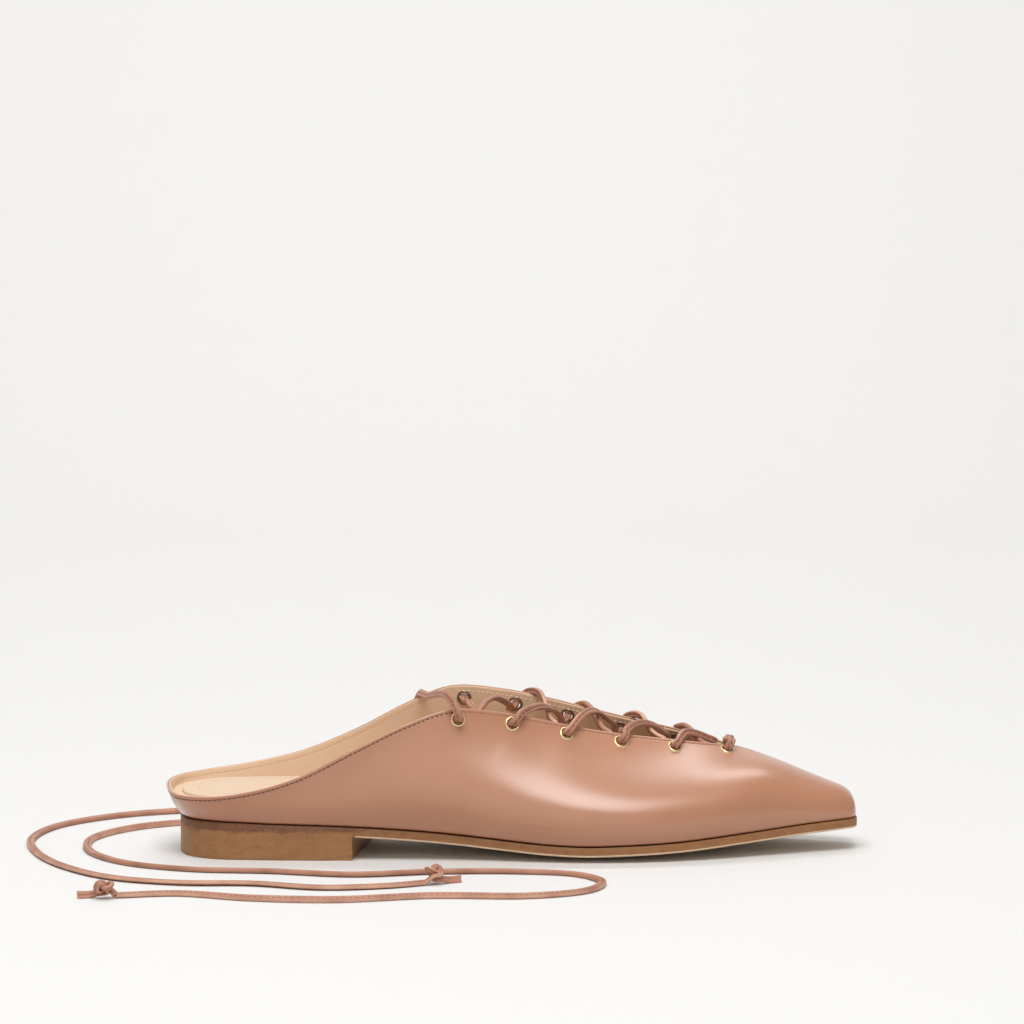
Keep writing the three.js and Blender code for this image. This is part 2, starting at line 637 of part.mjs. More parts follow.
function add(name, geometry, material, group = shoe) {
  geometry.computeVertexNormals();
  const mesh = new THREE.Mesh(geometry, material);
  mesh.name = name;
  group.add(mesh);
}

const seats = { [OUTER]: [], [INNER]: [] };
let upper = toSolid(upperShell());
for (const side of [OUTER, INNER]) {
  for (let number = 1; number <= EYELETS_A_SIDE; number += 1) {
    const seat = eyeletSeat(side, number);
    seats[side].push(seat);
    upper = upper.subtract(eyeletHole(seat));
    add(`eyelet_${side === OUTER ? "outer" : "inner"}_${number}`, eyelet(seat), GOLD);
  }
}
for (let row = 1; row < EYELETS_A_SIDE; row += 1) {
  add(`lace_cross_${row}`, crossing(row), LACE_CALF);
}
add("lace_bar", bar(), LACE_CALF);
add("upper", toGeometry(upper), TAN_CALF);
add("outsole", outsole(), SOLE_LEATHER);
add("insole", insole(), FOOTBED_LEATHER);
add("heel", heel(), SOLE_LEATHER);

const model = new THREE.Group();
model.add(shoe);
for (const [side, route] of Object.entries(TIE_ROUTES)) {
  const points = route.map((p) => new THREE.Vector3(...p));
  add(`tie_${side}`, tube(points, TIE_STEPS_A_POINT * (points.length - 1)), LACE_CALF, model);
  add(`tie_knot_${side}`, knot(route), LACE_CALF, model);
}

export default model;
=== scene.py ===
import math
from types import SimpleNamespace

import bmesh
import bpy
import numpy as np
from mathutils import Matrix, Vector


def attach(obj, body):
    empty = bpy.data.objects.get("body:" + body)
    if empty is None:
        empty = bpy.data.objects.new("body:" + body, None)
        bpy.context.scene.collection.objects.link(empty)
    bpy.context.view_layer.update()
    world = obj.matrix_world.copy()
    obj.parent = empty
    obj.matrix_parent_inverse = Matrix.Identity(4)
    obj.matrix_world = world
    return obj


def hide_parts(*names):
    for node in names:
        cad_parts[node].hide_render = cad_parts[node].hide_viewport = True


bl_info = {
    "name": "Lace-up flat",
    "version": (1, 0, 0),
    "blender": (4, 5, 0),
    "location": "View3D > Sidebar > Shoe",
    "description": "Dresses the packed lace-up flat: calf, lining, sole, heel, eyelets, lacing and ties",
    "category": "Object",
}

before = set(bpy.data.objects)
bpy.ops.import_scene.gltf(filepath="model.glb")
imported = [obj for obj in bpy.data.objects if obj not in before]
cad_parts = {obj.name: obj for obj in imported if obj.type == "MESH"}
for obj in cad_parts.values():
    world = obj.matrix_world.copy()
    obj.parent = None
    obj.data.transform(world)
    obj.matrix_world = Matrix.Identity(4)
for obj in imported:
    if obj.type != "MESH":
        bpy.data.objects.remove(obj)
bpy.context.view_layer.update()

# The shoe's own tables and sizes are in millimetres, from the back of the collar along the shoe.
# Meshes and properties are in metres, in the frame's own place.
MM = 0.001
OUTER = -1  # the side of the little toe, which faces the camera
INNER = 1
SIDES = (OUTER, INNER)
SIDE_NAME = {OUTER: "outer", INNER: "inner"}

# Driving sizes, as in the part
LENGTH = 268
CENTRE = np.array([-LENGTH / 2, 1, 0])
WALL = 1.6
GAP = 0.3
SOLE_THICKNESS = 3.7
SOLE_MARGIN = 0.5
INSOLE_THICKNESS = 2.8
INSOLE_GAP = 0.4
INSOLE_INSET = 3.1
INSOLE_FLARE = 0.32  # for each millimetre up
HEEL_BREAST_X = 72.5
HEEL_BREAST_SLANT = 9.5
EYELETS_A_SIDE = 6
EYELET_ROWS = {
    OUTER: {"first": 113.1, "pitch": 21.05, "inset": 4.2},
    INNER: {"first": 116.2, "pitch": 20.5, "inset": 5.2},
}

# The ribs of the last, from the middle of the back round each side to the middle of the toe.
# A rib stands on the foot outline and ends at the topline, or past the throat on the ridge.
# The last two are blunter than in the part, as the toe in the photo is.
RIB_COLUMNS = (
    "foot_x", "outer", "inner", "top_x", "top_outer", "top_inner",
    "z_outer", "z_inner", "lean", "tuck_outer", "tuck_inner",
)
RIBS = np.array([
    (6.0, 0, 0, 0, 0, 0, 26.3, 26.3, 44, -20, -20),
    (7.0, 8.8, 8.6, 1.1, -11.0, 10.8, 25.4, 26.2, 44, -20, -20),
    (10.4, 16.4, 15.8, 4.2, -20.2, 19.6, 24.6, 26.2, 42, -20, -20),
    (18.5, 22.8, 21.8, 13, -27.6, 27.0, 24.5, 26.8, 40, -20, -20),
    (35, 26.0, 24.6, 31, -30.8, 30.0, 26.5, 29.2, 38, -16, -16),
    (53, 27.3, 24.6, 51.5, -31.6, 31.0, 32.4, 33.8, 38, -10, -10),
    (72, 28.0, 23.8, 73, -31.0, 31.0, 43.0, 42.4, 39, -4, -2),
    (90, 28.6, 22.8, 93, -28.4, 30.2, 52.4, 52.8, 42, 6, 4),
    (108, 29.6, 22.8, 111, -24.0, 28.0, 57.6, 60.0, 44, 16, 6),
    (126, 31.8, 25.0, 131, -19.4, 25.0, 55.5, 59.1, 43, 26, 8),
    (144, 35.0, 29.6, 149, -15.0, 21.6, 51.5, 55.9, 40, 34, 12),
    (162, 37.0, 33.6, 167, -11.2, 18.0, 47.5, 51.8, 38, 42, 20),
    (180, 36.8, 35.4, 185, -8.0, 14.2, 44.7, 47.9, 36, 47, 32),
    (198, 34.0, 34.4, 203, -4.8, 9.6, 42.3, 44.1, 33, 56, 52),
    (216, 28.8, 29.8, 223, 2.0, 2.0, 38.9, 38.9, 30, 76, 76),
    (233, 22.4, 23.0, 236, 1.2, 1.2, 34.5, 34.5, 26, 90, 90),
    (248, 16.6, 16.8, 247, 0.6, 0.6, 30.0, 30.0, 22, 90, 90),
    (259.5, 12.4, 12.4, 254.5, 0.2, 0.2, 27.0, 27.0, 17, 90, 90),
    (266.2, 8.6, 8.6, 259.8, 0, 0, 24.9, 24.9, 10, 90, 90),
    (267.6, 0, 0, 262.2, 0, 0, 23.9, 23.9, 4, 90, 90),
])
THROAT_RIB = 14
MIRRORED = ("outer", "inner", "top_outer", "top_inner")
FULLNESS = 0.42  # the length of a rib's handles, as a share of the way from its foot to its top
SIDEWAYS = math.radians(40)  # the tuck from which a rib arrives straight at its top
CREST = (math.radians(60), math.radians(90))  # the tucks between which it takes up the ridge's fall

# The sole's top: x, its height along the edge, and how much lower the sole's middle lies there.
SOLE = np.array([
    (0, 14.2, 0), (20, 14.3, 0), (38, 13.7, 0), (72, 12.6, 0), (94, 11.3, 0.3),
    (112, 9.8, 0.9), (131, 7.9, 2.0), (148, 6.5, 2.9), (160, 6.05, 3.1), (176, 6.4, 2.9),
    (196, 7.2, 2.0), (223, 9.3, 1.2), (250, 11.4, 0.6), (268, 12.4, 0.3),
])
# The heel pad inside the insole: x, and how much it adds to the thickness.
HEEL_PAD = np.array([
    (0, 6.8), (20, 6.9), (38, 7.6), (52, 7.9), (72, 7.0), (95, 4.4), (120, 1.4), (145, 0), (268, 0),
])
SPINE = (26, 256)  # where the middle line of a slab starts and ends

# The two free ties, in metres in the frame's own place: over the collar and round on the floor.
TIE_ROUTES = {
    OUTER: [
        (-0.0208, -0.0267, 0.0541), (-0.0216, -0.0284, 0.0575), (-0.0232, -0.0262, 0.0608),
        (-0.0257, -0.0192, 0.0625), (-0.0282, -0.009, 0.0617), (-0.0304, 0.003, 0.0597),
        (-0.0324, 0.0145, 0.0577), (-0.0342, 0.0238, 0.0571), (-0.0357, 0.0301, 0.0566),
        (-0.0372, 0.0338, 0.0535), (-0.0392, 0.035, 0.0474), (-0.0424, 0.0356, 0.0398),
        (-0.0466, 0.0359, 0.0318), (-0.0502, 0.036, 0.0236), (-0.0544, 0.0368, 0.0156),
        (-0.0598, 0.0396, 0.0086), (-0.0646, 0.0438, 0.0036), (-0.0716, 0.0484, 0.0019),
        (-0.092, 0.057, 0.0015), (-0.121, 0.058, 0.0015), (-0.148, 0.045, 0.0015),
        (-0.164, 0.02, 0.0015), (-0.163, -0.009, 0.0015), (-0.148, -0.034, 0.0015),
        (-0.122, -0.049, 0.0015), (-0.092, -0.054, 0.0015), (-0.061, -0.062, 0.0015),
        (-0.03, -0.057, 0.0015), (0, -0.057, 0.0015), (0.022, -0.063, 0.0015),
        (0.031, -0.078, 0.0015), (0.025, -0.096, 0.0015), (0.004, -0.106, 0.0015),
        (-0.032, -0.105, 0.0015), (-0.067, -0.112, 0.0015), (-0.097, -0.108, 0.0015),
        (-0.124, -0.098, 0.0015), (-0.146, -0.101, 0.0015),
    ],
    INNER: [
        (-0.0177, 0.0315, 0.0554), (-0.018, 0.0332, 0.052), (-0.0185, 0.0346, 0.048),
        (-0.0193, 0.0354, 0.042), (-0.0202, 0.0358, 0.034), (-0.021, 0.036, 0.026),
        (-0.022, 0.0364, 0.018), (-0.0234, 0.038, 0.011), (-0.0248, 0.0412, 0.0054),
        (-0.0256, 0.0464, 0.0022), (-0.022, 0.055, 0.0016), (-0.012, 0.06, 0.0015),
        (0.004, 0.062, 0.0015), (0.03, 0.061, 0.0015), (0.054, 0.064, 0.0015),
        (0.07, 0.072, 0.0015), (0.074, 0.084, 0.0015), (0.064, 0.094, 0.0015),
        (0.042, 0.097, 0.0015), (0.012, 0.095, 0.0015), (-0.022, 0.092, 0.0015),
        (-0.058, 0.089, 0.0015), (-0.094, 0.088, 0.0015), (-0.128, 0.085, 0.0015),
        (-0.158, 0.073, 0.0015), (-0.18, 0.05, 0.0015), (-0.188, 0.02, 0.0015),
        (-0.183, -0.012, 0.0015), (-0.17, -0.042, 0.0015), (-0.15, -0.066, 0.0015),
        (-0.124, -0.077, 0.0015), (-0.098, -0.079, 0.0015), (-0.072, -0.088, 0.0015),
        (-0.048, -0.085, 0.0015), (-0.034, -0.079, 0.0015),
    ],
}

# Each strand of the lacing between its two eyelets, from the outside of the first, over the
# throat's edge, down to the inside of the opposite one in the next row; x, y and z in the shoe.
STRANDS = {
    (OUTER, 2): [
        (136.7, -21.2, 55.2), (139.7, -16, 56.2), (144.7, -4, 55.8), (148.1, 4, 54.1),
        (151.3, 11, 51.6), (153.6, 15.4, 48.4),
    ],
    (OUTER, 3): [
        (158.0, -15.7, 50.9), (160.7, -12, 53.2), (164.2, -3, 53.6), (167.6, 4, 52.2),
        (171.2, 10, 49.0), (174.6, 13.6, 45.6),
    ],
    (OUTER, 4): [
        (177.5, -12, 47.0), (180.2, -8, 48.7), (184.5, -1, 48.7), (188.7, 4, 47.3),
        (192.3, 8, 44.9), (195.4, 10.6, 42.3),
    ],
    (OUTER, 5): [
        (198.9, -7.8, 43.8), (201.1, -3.6, 45.2), (204.6, 0.9, 44.4), (209.6, 4, 42.2),
        (213.6, 5.4, 40.0),
    ],
    (INNER, 2): [
        (140.6, 25.3, 57.2), (142.8, 22.6, 58.1), (145.0, 18.5, 58.0), (146.6, 13, 56.2),
        (147.6, 8.6, 53.8), (148.6, 3, 51.0), (149.8, -3, 49.6), (151.4, -9, 48.6),
    ],
    (INNER, 3): [
        (160.4, 21.3, 52.4), (163.0, 18.6, 53.3), (165.2, 14, 52.2), (166.6, 9, 50.4),
        (167.8, 3, 48.2), (169.6, -2, 46.2), (172.4, -6.6, 44.6),
    ],
    (INNER, 4): [
        (179.8, 17.0, 48.8), (182.6, 14, 50.0), (185.0, 10, 49.6), (186.6, 6.4, 47.6),
        (188.0, 2.4, 45.2), (190.2, -2, 43.6), (193.4, -4.4, 42.0),
    ],
    (INNER, 5): [
        (199.0, 12.0, 45.0), (201.6, 9.9, 45.7), (204.0, 6.8, 44.4), (205.8, 3.4, 42.0),
        (208.2, 0.6, 40.2), (211.6, -0.6, 38.8),
    ],
}
# The two strands of the first row, from the inside of one eyelet to the inside of the opposite
# one in the next row.
INSIDE_STRANDS = {
    OUTER: [
        (118.4, -18.6, 53.2), (121.7, -15.3, 56.8), (123.4, -11.2, 58.3), (125.6, -5, 58.8),
        (128.4, 3, 58.0), (131.8, 12.3, 55.2), (133.8, 17.2, 53.0),
    ],
    INNER: [
        (117.2, 21.4, 54.4), (118.8, 14, 53.0), (120.8, 6, 52.2), (123.6, -4, 51.6),
        (127.4, -11.8, 50.4),
    ],
}
BAR_LIFT = 3.1  # of the bar's middle over the two eyelets that it joins

# Soft creases of the calf: side, then x and depth below the topline at each end, width and rise.
CREASES = (
    (OUTER, 118, 6, 128, 14, 5.0, -0.08),
    (OUTER, 138, 7, 148, 16, 4.5, -0.08),
    (OUTER, 160, 7, 170, 15, 4.5, -0.06),
    (OUTER, 96, 10, 108, 22, 8.0, -0.15),
    (INNER, 120, 6, 132, 15, 5.0, -0.25),
    (INNER, 142, 7, 152, 15, 4.5, -0.20),
    (INNER, 92, 12, 104, 24, 8.0, -0.35),
)


def unit(vectors):
    """The same vectors, one long."""
    return vectors / np.maximum(np.linalg.norm(vectors, axis=-1, keepdims=True), 1e-9)


def placed(points):
    """Points of the shoe's own tables, in metres in the frame's place."""
    return (np.asarray(points) + CENTRE) * MM


def ridge(away, width, height):
    """How high a soft ridge stands, or how deep a groove lies, away from its own line."""
    return height * np.exp(-((away / width) ** 2))


def smooth_curve(knots, values):
    """A cubic curve through values at rising knots, with parabolic slopes."""
    knots = np.array(knots, float)
    values = np.array(values, float)
    spans = np.diff(knots)
    rises = np.diff(values) / spans
    slopes = np.empty(len(values))
    slopes[0], slopes[-1] = rises[0], rises[-1]
    slopes[1:-1] = (rises[:-1] * spans[1:] + rises[1:] * spans[:-1]) / (spans[:-1] + spans[1:])

    def at(place):
        place = np.asarray(place, float)
        i = np.clip(np.searchsorted(knots, place) - 1, 0, len(spans) - 1)
        s = np.clip((place - knots[i]) / spans[i], 0, 1)
        start = (1 + 2 * s) * (1 - s) ** 2 * values[i] + s * (1 - s) ** 2 * spans[i] * slopes[i]
        end = s * s * (3 - 2 * s) * values[i + 1] + s * s * (s - 1) * spans[i] * slopes[i + 1]
        return start + end

    return at


def rib_curves():
    """The columns of the rib table as curves of the distance along the foot outline.

    Both ends of the table are mirrored across the middle, so the outline rounds off there.
    """
    flip = np.array([-1 if name in MIRRORED else 1 for name in RIB_COLUMNS])
    rows = np.vstack([RIBS[1] * flip, RIBS, RIBS[-2] * flip])
    steps = np.diff(rows[:, :3], axis=0)
    knots = np.concatenate([[0], np.cumsum(np.hypot(steps[:, 0], (steps[:, 1] + steps[:, 2]) / 2))])
    curves = {name: smooth_curve(knots, rows[:, i]) for i, name in enumerate(RIB_COLUMNS)}
    return curves, knots[1:-1]


RIB, RIB_KNOTS = rib_curves()
START, THROAT, END = RIB_KNOTS[0], RIB_KNOTS[THROAT_RIB], RIB_KNOTS[-1]
HEEL_PAD_CURVE = smooth_curve(HEEL_PAD[:, 0], HEEL_PAD[:, 1])
SOLE_EDGE = smooth_curve(SOLE[:, 0], SOLE[:, 1])
SOLE_CROWN = smooth_curve(SOLE[:, 0], SOLE[:, 2])
FINE = np.linspace(START, END, 4000)  # for finding a rib by its x
FINE_FOOT_X = RIB["foot_x"](FINE)
FINE_TOP_X = RIB["top_x"](FINE)
TINY = 0.05  # the step to either side that gives the outline's direction
FALL_STEP = 1  # the same for the ridge's fall
SEAT_STEP = 0.4  # the same for a seam's and a ledge's place on the wall
LEAST_HALF = 1  # the outline counts as no narrower than that to either side


def half_width(side, x):
    """Half the width of the foot outline at x, on one side."""
    half = RIB[SIDE_NAME[side]](np.interp(x, FINE_FOOT_X, FINE))
    return np.maximum(LEAST_HALF, half)


def sole_top(x, y):
    """The height of the sole's top."""
    half = np.where(y > 0, half_width(INNER, x), half_width(OUTER, x)) + SOLE_MARGIN
    share = np.minimum(1, np.abs(y) / half)
    return SOLE_EDGE(x) - SOLE_CROWN(x) * (1 - share**2)


def insole_thickness(x):
    """The insole's thickness with the heel pad in it."""
    return INSOLE_THICKNESS + HEEL_PAD_CURVE(x)


def footbed_top(x, y):
    """The height of the footbed's face."""
    return sole_top(x, y) + INSOLE_GAP + insole_thickness(x)


def sole_bottom(x, y):
    """The height of the sole's underside, which is flat where it meets the floor."""
    return np.maximum(0, sole_top(x, y) - SOLE_THICKNESS)


def outline(side, at):
    """Points of the foot outline, and the level directions inwards there."""
    half = RIB[SIDE_NAME[side]]

    def point(place):
        return np.stack([RIB["foot_x"](place), side * half(place)], -1)

    along = unit(point(at + TINY) - point(at - TINY))
    return point(at), side * np.stack([along[..., 1], -along[..., 0]], -1)


def rib_handles(side, at):
    """The four handles of each rib, as a cubic curve from the foot to the topline."""
    closed = at >= THROAT
    own = SIDE_NAME[side]

    def topline(column):
        mean = (RIB[column + "_outer"](at) + RIB[column + "_inner"](at)) / 2
        return np.where(closed, mean, RIB[f"{column}_{own}"](at))

    point, inward = outline(side, at)
    foot = np.column_stack([point, sole_top(point[:, 0], point[:, 1]) + GAP])
    top = np.column_stack([RIB["top_x"](at), topline("top"), topline("z")])
    lean = np.radians(RIB["lean"](at))[:, None]
    tuck = np.radians(RIB["tuck_" + own](at))[:, None]
    reach = np.linalg.norm(foot - top, axis=1)[:, None] * FULLNESS
    set_out = np.hstack([-inward * np.sin(lean), np.cos(lean)])
    towards = unit(top[:, :2] - foot[:, :2])
    share = np.clip(tuck / SIDEWAYS, 0, 1)
    across = unit(inward * (1 - share) + towards * share)
    before, after = np.maximum(START, at - FALL_STEP), np.minimum(END, at + FALL_STEP)
    fall = (RIB["z_inner"](after) - RIB["z_inner"](before)) / (RIB["top_x"](after) - RIB["top_x"](before))
    on_crest = np.clip((tuck - CREST[0]) / (CREST[1] - CREST[0]), 0, 1)
    rise = np.cos(tuck) + on_crest * fall[:, None] * across[:, :1]
    arrive = unit(np.hstack([across * np.sin(tuck), rise]))
    return foot, foot + set_out * reach, top - arrive * reach, top


RIB_SAMPLES = 240


def rib_lines(side, at):
    """Each rib as a fine line from its foot up, with the distances along it."""
    t = np.linspace(0, 1, RIB_SAMPLES)[None, :, None]
    a, b, c, d = (handle[:, None, :] for handle in rib_handles(side, np.atleast_1d(at)))
    points = (1 - t) ** 3 * a + 3 * t * (1 - t) ** 2 * b + 3 * t * t * (1 - t) * c + t**3 * d
    steps = np.linalg.norm(np.diff(points, axis=1), axis=2)
    return points, np.hstack([np.zeros((len(points), 1)), np.cumsum(steps, axis=1)])


def down_ribs(side, at, depth):
    """Points on the wall at depths below the topline; depth has a row for each rib."""
    points, reached = rib_lines(side, at)
    found = np.empty(depth.shape + (3,))
    for i, (line, way) in enumerate(zip(points, reached)):
        for k in range(3):
            found[i, :, k] = np.interp(way[-1] - depth[i], way, line[:, k])
    return found


def seats_at(side, at, depth, step):
    """Places on the wall's outer face: the point, the normal, the way up to the edge and ahead."""
    at = np.atleast_1d(np.asarray(at, float))
    depths = np.broadcast_to(np.asarray(depth, float), at.shape)[:, None]
    point = down_ribs(side, at, depths)[:, 0]
    up = unit(down_ribs(side, at, np.maximum(0, depths - step))[:, 0] - point)
    ahead = unit(down_ribs(side, at + step, depths)[:, 0] - down_ribs(side, at - step, depths)[:, 0])
    return point, unit(-side * np.cross(ahead, up)), up, ahead


def rib_over(x):
    """The distance along the outline of the rib that ends at x."""
    return np.interp(x, FINE_TOP_X, FINE)


class Seat:
    """An eyelet's place in the wall."""

    def __init__(self, side, number):
        row = EYELET_ROWS[side]
        at = rib_over(row["first"] + row["pitch"] * (number - 1))
        point, normal, up, ahead = (found[0] for found in seats_at(side, at, row["inset"], row["inset"]))
        self.middle, self.normal, self.up, self.ahead = point, normal, up, ahead

    def beside(self, out, up=0.0, ahead=0.0):
        """A point out of the wall, up towards the edge and ahead towards the toe."""
        return self.middle + self.normal * out + self.up * up + self.ahead * ahead


SEATS = {(side, k): Seat(side, k) for side in SIDES for k in range(1, EYELETS_A_SIDE + 1)}


def hex_colour(code):
    """An sRGB hex code as a linear colour."""
    parts = [int(code[i:i + 2], 16) / 255 for i in (1, 3, 5)]
    return tuple(c / 12.92 if c <= 0.04045 else ((c + 0.055) / 1.055) ** 2.4 for c in parts) + (1.0,)


def length_property(name, description, default):
    """A length in metres for the sizes panel."""
    return bpy.props.FloatProperty(
        name=name, description=description, default=default, unit="LENGTH", precision=5)


def colour_property(name, description, code):
    """A colour for the colours panel, from its hex code."""
    return bpy.props.FloatVectorProperty(
        name=name, description=description, default=hex_colour(code), subtype="COLOR", size=4,
        min=0, max=1)


class ShoeSizes(bpy.types.PropertyGroup):
    """Sizes of what the dressing adds."""

    calf: length_property("Calf", "Thickness of the calf without its lining", 0.0008)
    lining_drop: length_property("Lining drop", "How far the lining stops below the topline", 0.0003)
    seam_depth: length_property("Seam depth", "From the topline to its row of stitches", 0.0014)
    inner_seam: length_property("Inner seam depth", "The same on the lining's face", 0.0023)
    stitch_pitch: length_property("Stitch pitch", "From one stitch of the topline to the next", 0.0019)
    stitch_length: length_property("Stitch length", "What shows of one stitch", 0.00142)
    stitch_width: length_property("Stitch width", "Thickness of the sewing thread", 0.0004)
    eyelet_radius: length_property("Eyelet radius", "Outer radius of an eyelet's flange", 0.0029)
    eyelet_bore: length_property("Eyelet bore", "Radius of an eyelet's hole", 0.00195)
    lace_width: length_property("Lace width", "Width of the folded and stitched strip", 0.003)
    lace_thickness: length_property("Lace thickness", "Thickness of the folded strip", 0.002)
    lace_pitch: length_property("Lace stitch pitch", "From one stitch of the lace to the next", 0.0023)
    lip: length_property("Sole lip", "Height of the pale grain side at the sole's lower edge", 0.0007)


class ShoeColours(bpy.types.PropertyGroup):
    """Colours of the finishes."""

    calf: colour_property("Calf", "Tan calf of the upper", "#b67d5d")
    calf_deep: colour_property("Calf, deep", "Where the dye lies deeper in the calf", "#a66f51")
    # Dark: partly the thread's own colour, partly painted shade of the sunk stitch holes along the collar.
    thread: colour_property("Thread", "Topline thread outside", "#5e3f33")
    thread_pale: colour_property("Pale thread", "Topline thread inside", "#ecd7bb")
    lining: colour_property("Lining", "Lining leather of the wall", "#dbb998")
    footbed: colour_property("Footbed", "Cover of the insole", "#d6bca2")
    footbed_thread: colour_property("Footbed thread", "Stitches of the heel seat", "#b8916f")
    sole: colour_property("Sole edge", "Waxed edge of the sole", "#a06f41")
    # Also the colour that the edge darkens to towards its top over the heel.
    sole_dark: colour_property("Sole edge, dark", "Dark mottling and stain of the waxed edge", "#6f442c")
    heel: colour_property("Heel", "Waxed side of the heel", "#a37546")
    heel_dark: colour_property("Heel, dark", "Dark grain of the heel", "#7a4d30")
    grain: colour_property("Sole grain", "Undyed grain side under the sole", "#dcc3a6")
    lace: colour_property("Lace", "Folded calf strip of the lace", "#b9836a")
    lace_deep: colour_property("Lace, deep", "Darker side of the strip", "#9c6a53")
    lace_edge: colour_property("Lace edge", "Cut edge of the strip", "#d6a88f")
    lace_thread: colour_property("Lace thread", "Stitches of the strip", "#6d4638")
    gold: colour_property("Gold", "Plate of the eyelets", "#f1deaa")
    bronze: colour_property("Bronze", "Unplated back of the eyelets", "#8c7a60")
    floor: colour_property("Floor", "Paper floor and backdrop", "#dedddb")


MIX_FIRST, MIX_SECOND, MIX_RESULT = 6, 7, 2  # the colour sockets of a Mix node
WAX_ROUGHNESS = 0.28  # of polish that was brushed and not buffed to a mirror
SCUFF_ROUGHNESS = 0.1  # how much rougher scuffed brass is
DARKENING_EDGE = (0.0122, 0.0138)  # heights between which the edge darkens towards its top, in metres
DARKENING_WANDER = 0.004  # how far that edge follows the clouds, in metres
DARKENING_FRONT = (-0.03, -0.07)  # x between which that darkening fades in towards the back, in metres


def add_node(tree, kind, inputs=(), **settings):
    """A shader node with its settings. An input is a value, or another node's output to link."""
    made = tree.nodes.new("ShaderNode" + kind)
    for name, value in settings.items():
        setattr(made, name, value)
    for name, value in dict(inputs).items():
        if isinstance(value, bpy.types.NodeSocket):
            tree.links.new(value, made.inputs[name])
        else:
            made.inputs[name].default_value = value
    return made


def new_material(name):
    """An empty material with its node tree and the place in the object for its patterns."""
    material = bpy.data.materials.new(name)
    material.use_nodes = True
    tree = material.node_tree
    tree.nodes.clear()
    return material, tree, add_node(tree, "TexCoord").outputs["Object"]


def grain_scale(size_mm):
    """The scale of a noise whose grains are that many millimetres across."""
    return 1 / (size_mm * MM)


def leather(name, colours, clouds, pores, gloss, relief, ior=1.5, wax=0.0):
    """Leather in two shades, with pores that roughen its gloss.

    colours are its light and its deep shade. clouds are how many millimetres wide the deep shade
    comes and goes, and how much of it there is; pores are the same for the specks. gloss is the
    roughness between the pores and in them, and relief their depth in millimetres. wax is how
    much of the face a thin coat of polish covers.
    """
    material, tree, place = new_material(name)
    light, deep = colours
    cloud = add_node(tree, "TexNoise", {"Vector": place, "Scale": grain_scale(clouds[0])})
    pore = add_node(tree, "TexNoise", {
        "Vector": place, "Scale": grain_scale(pores[0]), "Roughness": 0.6})
    cloudy = add_node(tree, "MapRange", {
        "Value": cloud.outputs["Fac"], "From Min": 0.35, "From Max": 0.7, "To Max": clouds[1]})
    specks = add_node(tree, "MapRange", {
        "Value": pore.outputs["Fac"], "From Min": 0.42, "From Max": 0.7, "To Max": pores[1]})
    both = add_node(tree, "Math", {
        0: cloudy.outputs["Result"], 1: specks.outputs["Result"]}, operation="ADD", use_clamp=True)
    colour = add_node(tree, "Mix", {
        "Factor": both.outputs["Value"], MIX_FIRST: light, MIX_SECOND: deep}, data_type="RGBA")
    roughness = add_node(tree, "MapRange", {
        "Value": pore.outputs["Fac"], "From Min": 0.3, "From Max": 0.7,
        "To Min": gloss[0], "To Max": gloss[1]})
    bump = add_node(tree, "Bump", {
        "Height": pore.outputs["Fac"], "Distance": relief * MM, "Strength": 0.45})
    shader = add_node(tree, "BsdfPrincipled", {
        "Base Color": colour.outputs[MIX_RESULT], "Roughness": roughness.outputs["Result"],
        "IOR": ior, "Normal": bump.outputs["Normal"],
        "Coat Weight": wax, "Coat Roughness": WAX_ROUGHNESS})
    add_node(tree, "OutputMaterial", {"Surface": shader.outputs["BSDF"]})
    return material


def calf_finish(colours):
    """Full-grain calf, dyed through with aniline and polished by hand.

    It gives broad soft highlights, a shade that hardly changes, and no visible grain. Its hair
    pores, 0.15 mm apart, are too fine to show, so they are drawn nearly three times as coarse.
    """
    shades = colours.calf, colours.calf_deep
    return leather("Polished aniline calf", shades, (30, 0.35), (0.42, 0.18), (0.27, 0.36), 0.05, wax=1.0)


def lining_finish(colours):
    """Undyed lining calf with a shaved face: matt, warm and a little uneven.

    Its fibres, 0.1 mm thick, are too fine to show and are drawn five times as coarse.
    """
    shades = colours.lining, colours.grain
    return leather("Undyed lining calf", shades, (15, 0.3), (0.5, 0.1), (0.55, 0.7), 0.05, 1.46)


def footbed_finish(colours):
    """Vegetable-tanned calf, ironed flat: paler than the lining, and almost matt.

    Its pores, 0.15 mm apart, are too fine to show and are drawn three times as coarse.
    """
    shades = colours.footbed, colours.lining
    return leather("Vegetable-tanned footbed", shades, (12, 0.25), (0.45, 0.1), (0.5, 0.66), 0.04, 1.46)


def sole_finish(colours):
    """The sole's undyed grain side, brushed: pale, dry and matt, with short fibres 0.9 mm long."""
    shades = colours.grain, colours.sole
    return leather("Brushed sole grain", shades, (9, 0.15), (0.9, 0.2), (0.6, 0.7), 0.06, 1.46)


def lace_finish(name, light, deep):
    """Thin calf, folded over itself, glued and stitched: satin, and darker where it was handled.

    Its pores are drawn three times as coarse as they are, as those of the upper.
    """
    return leather(name, (light, deep), (9, 0.8), (0.5, 0.2), (0.42, 0.56), 0.05)


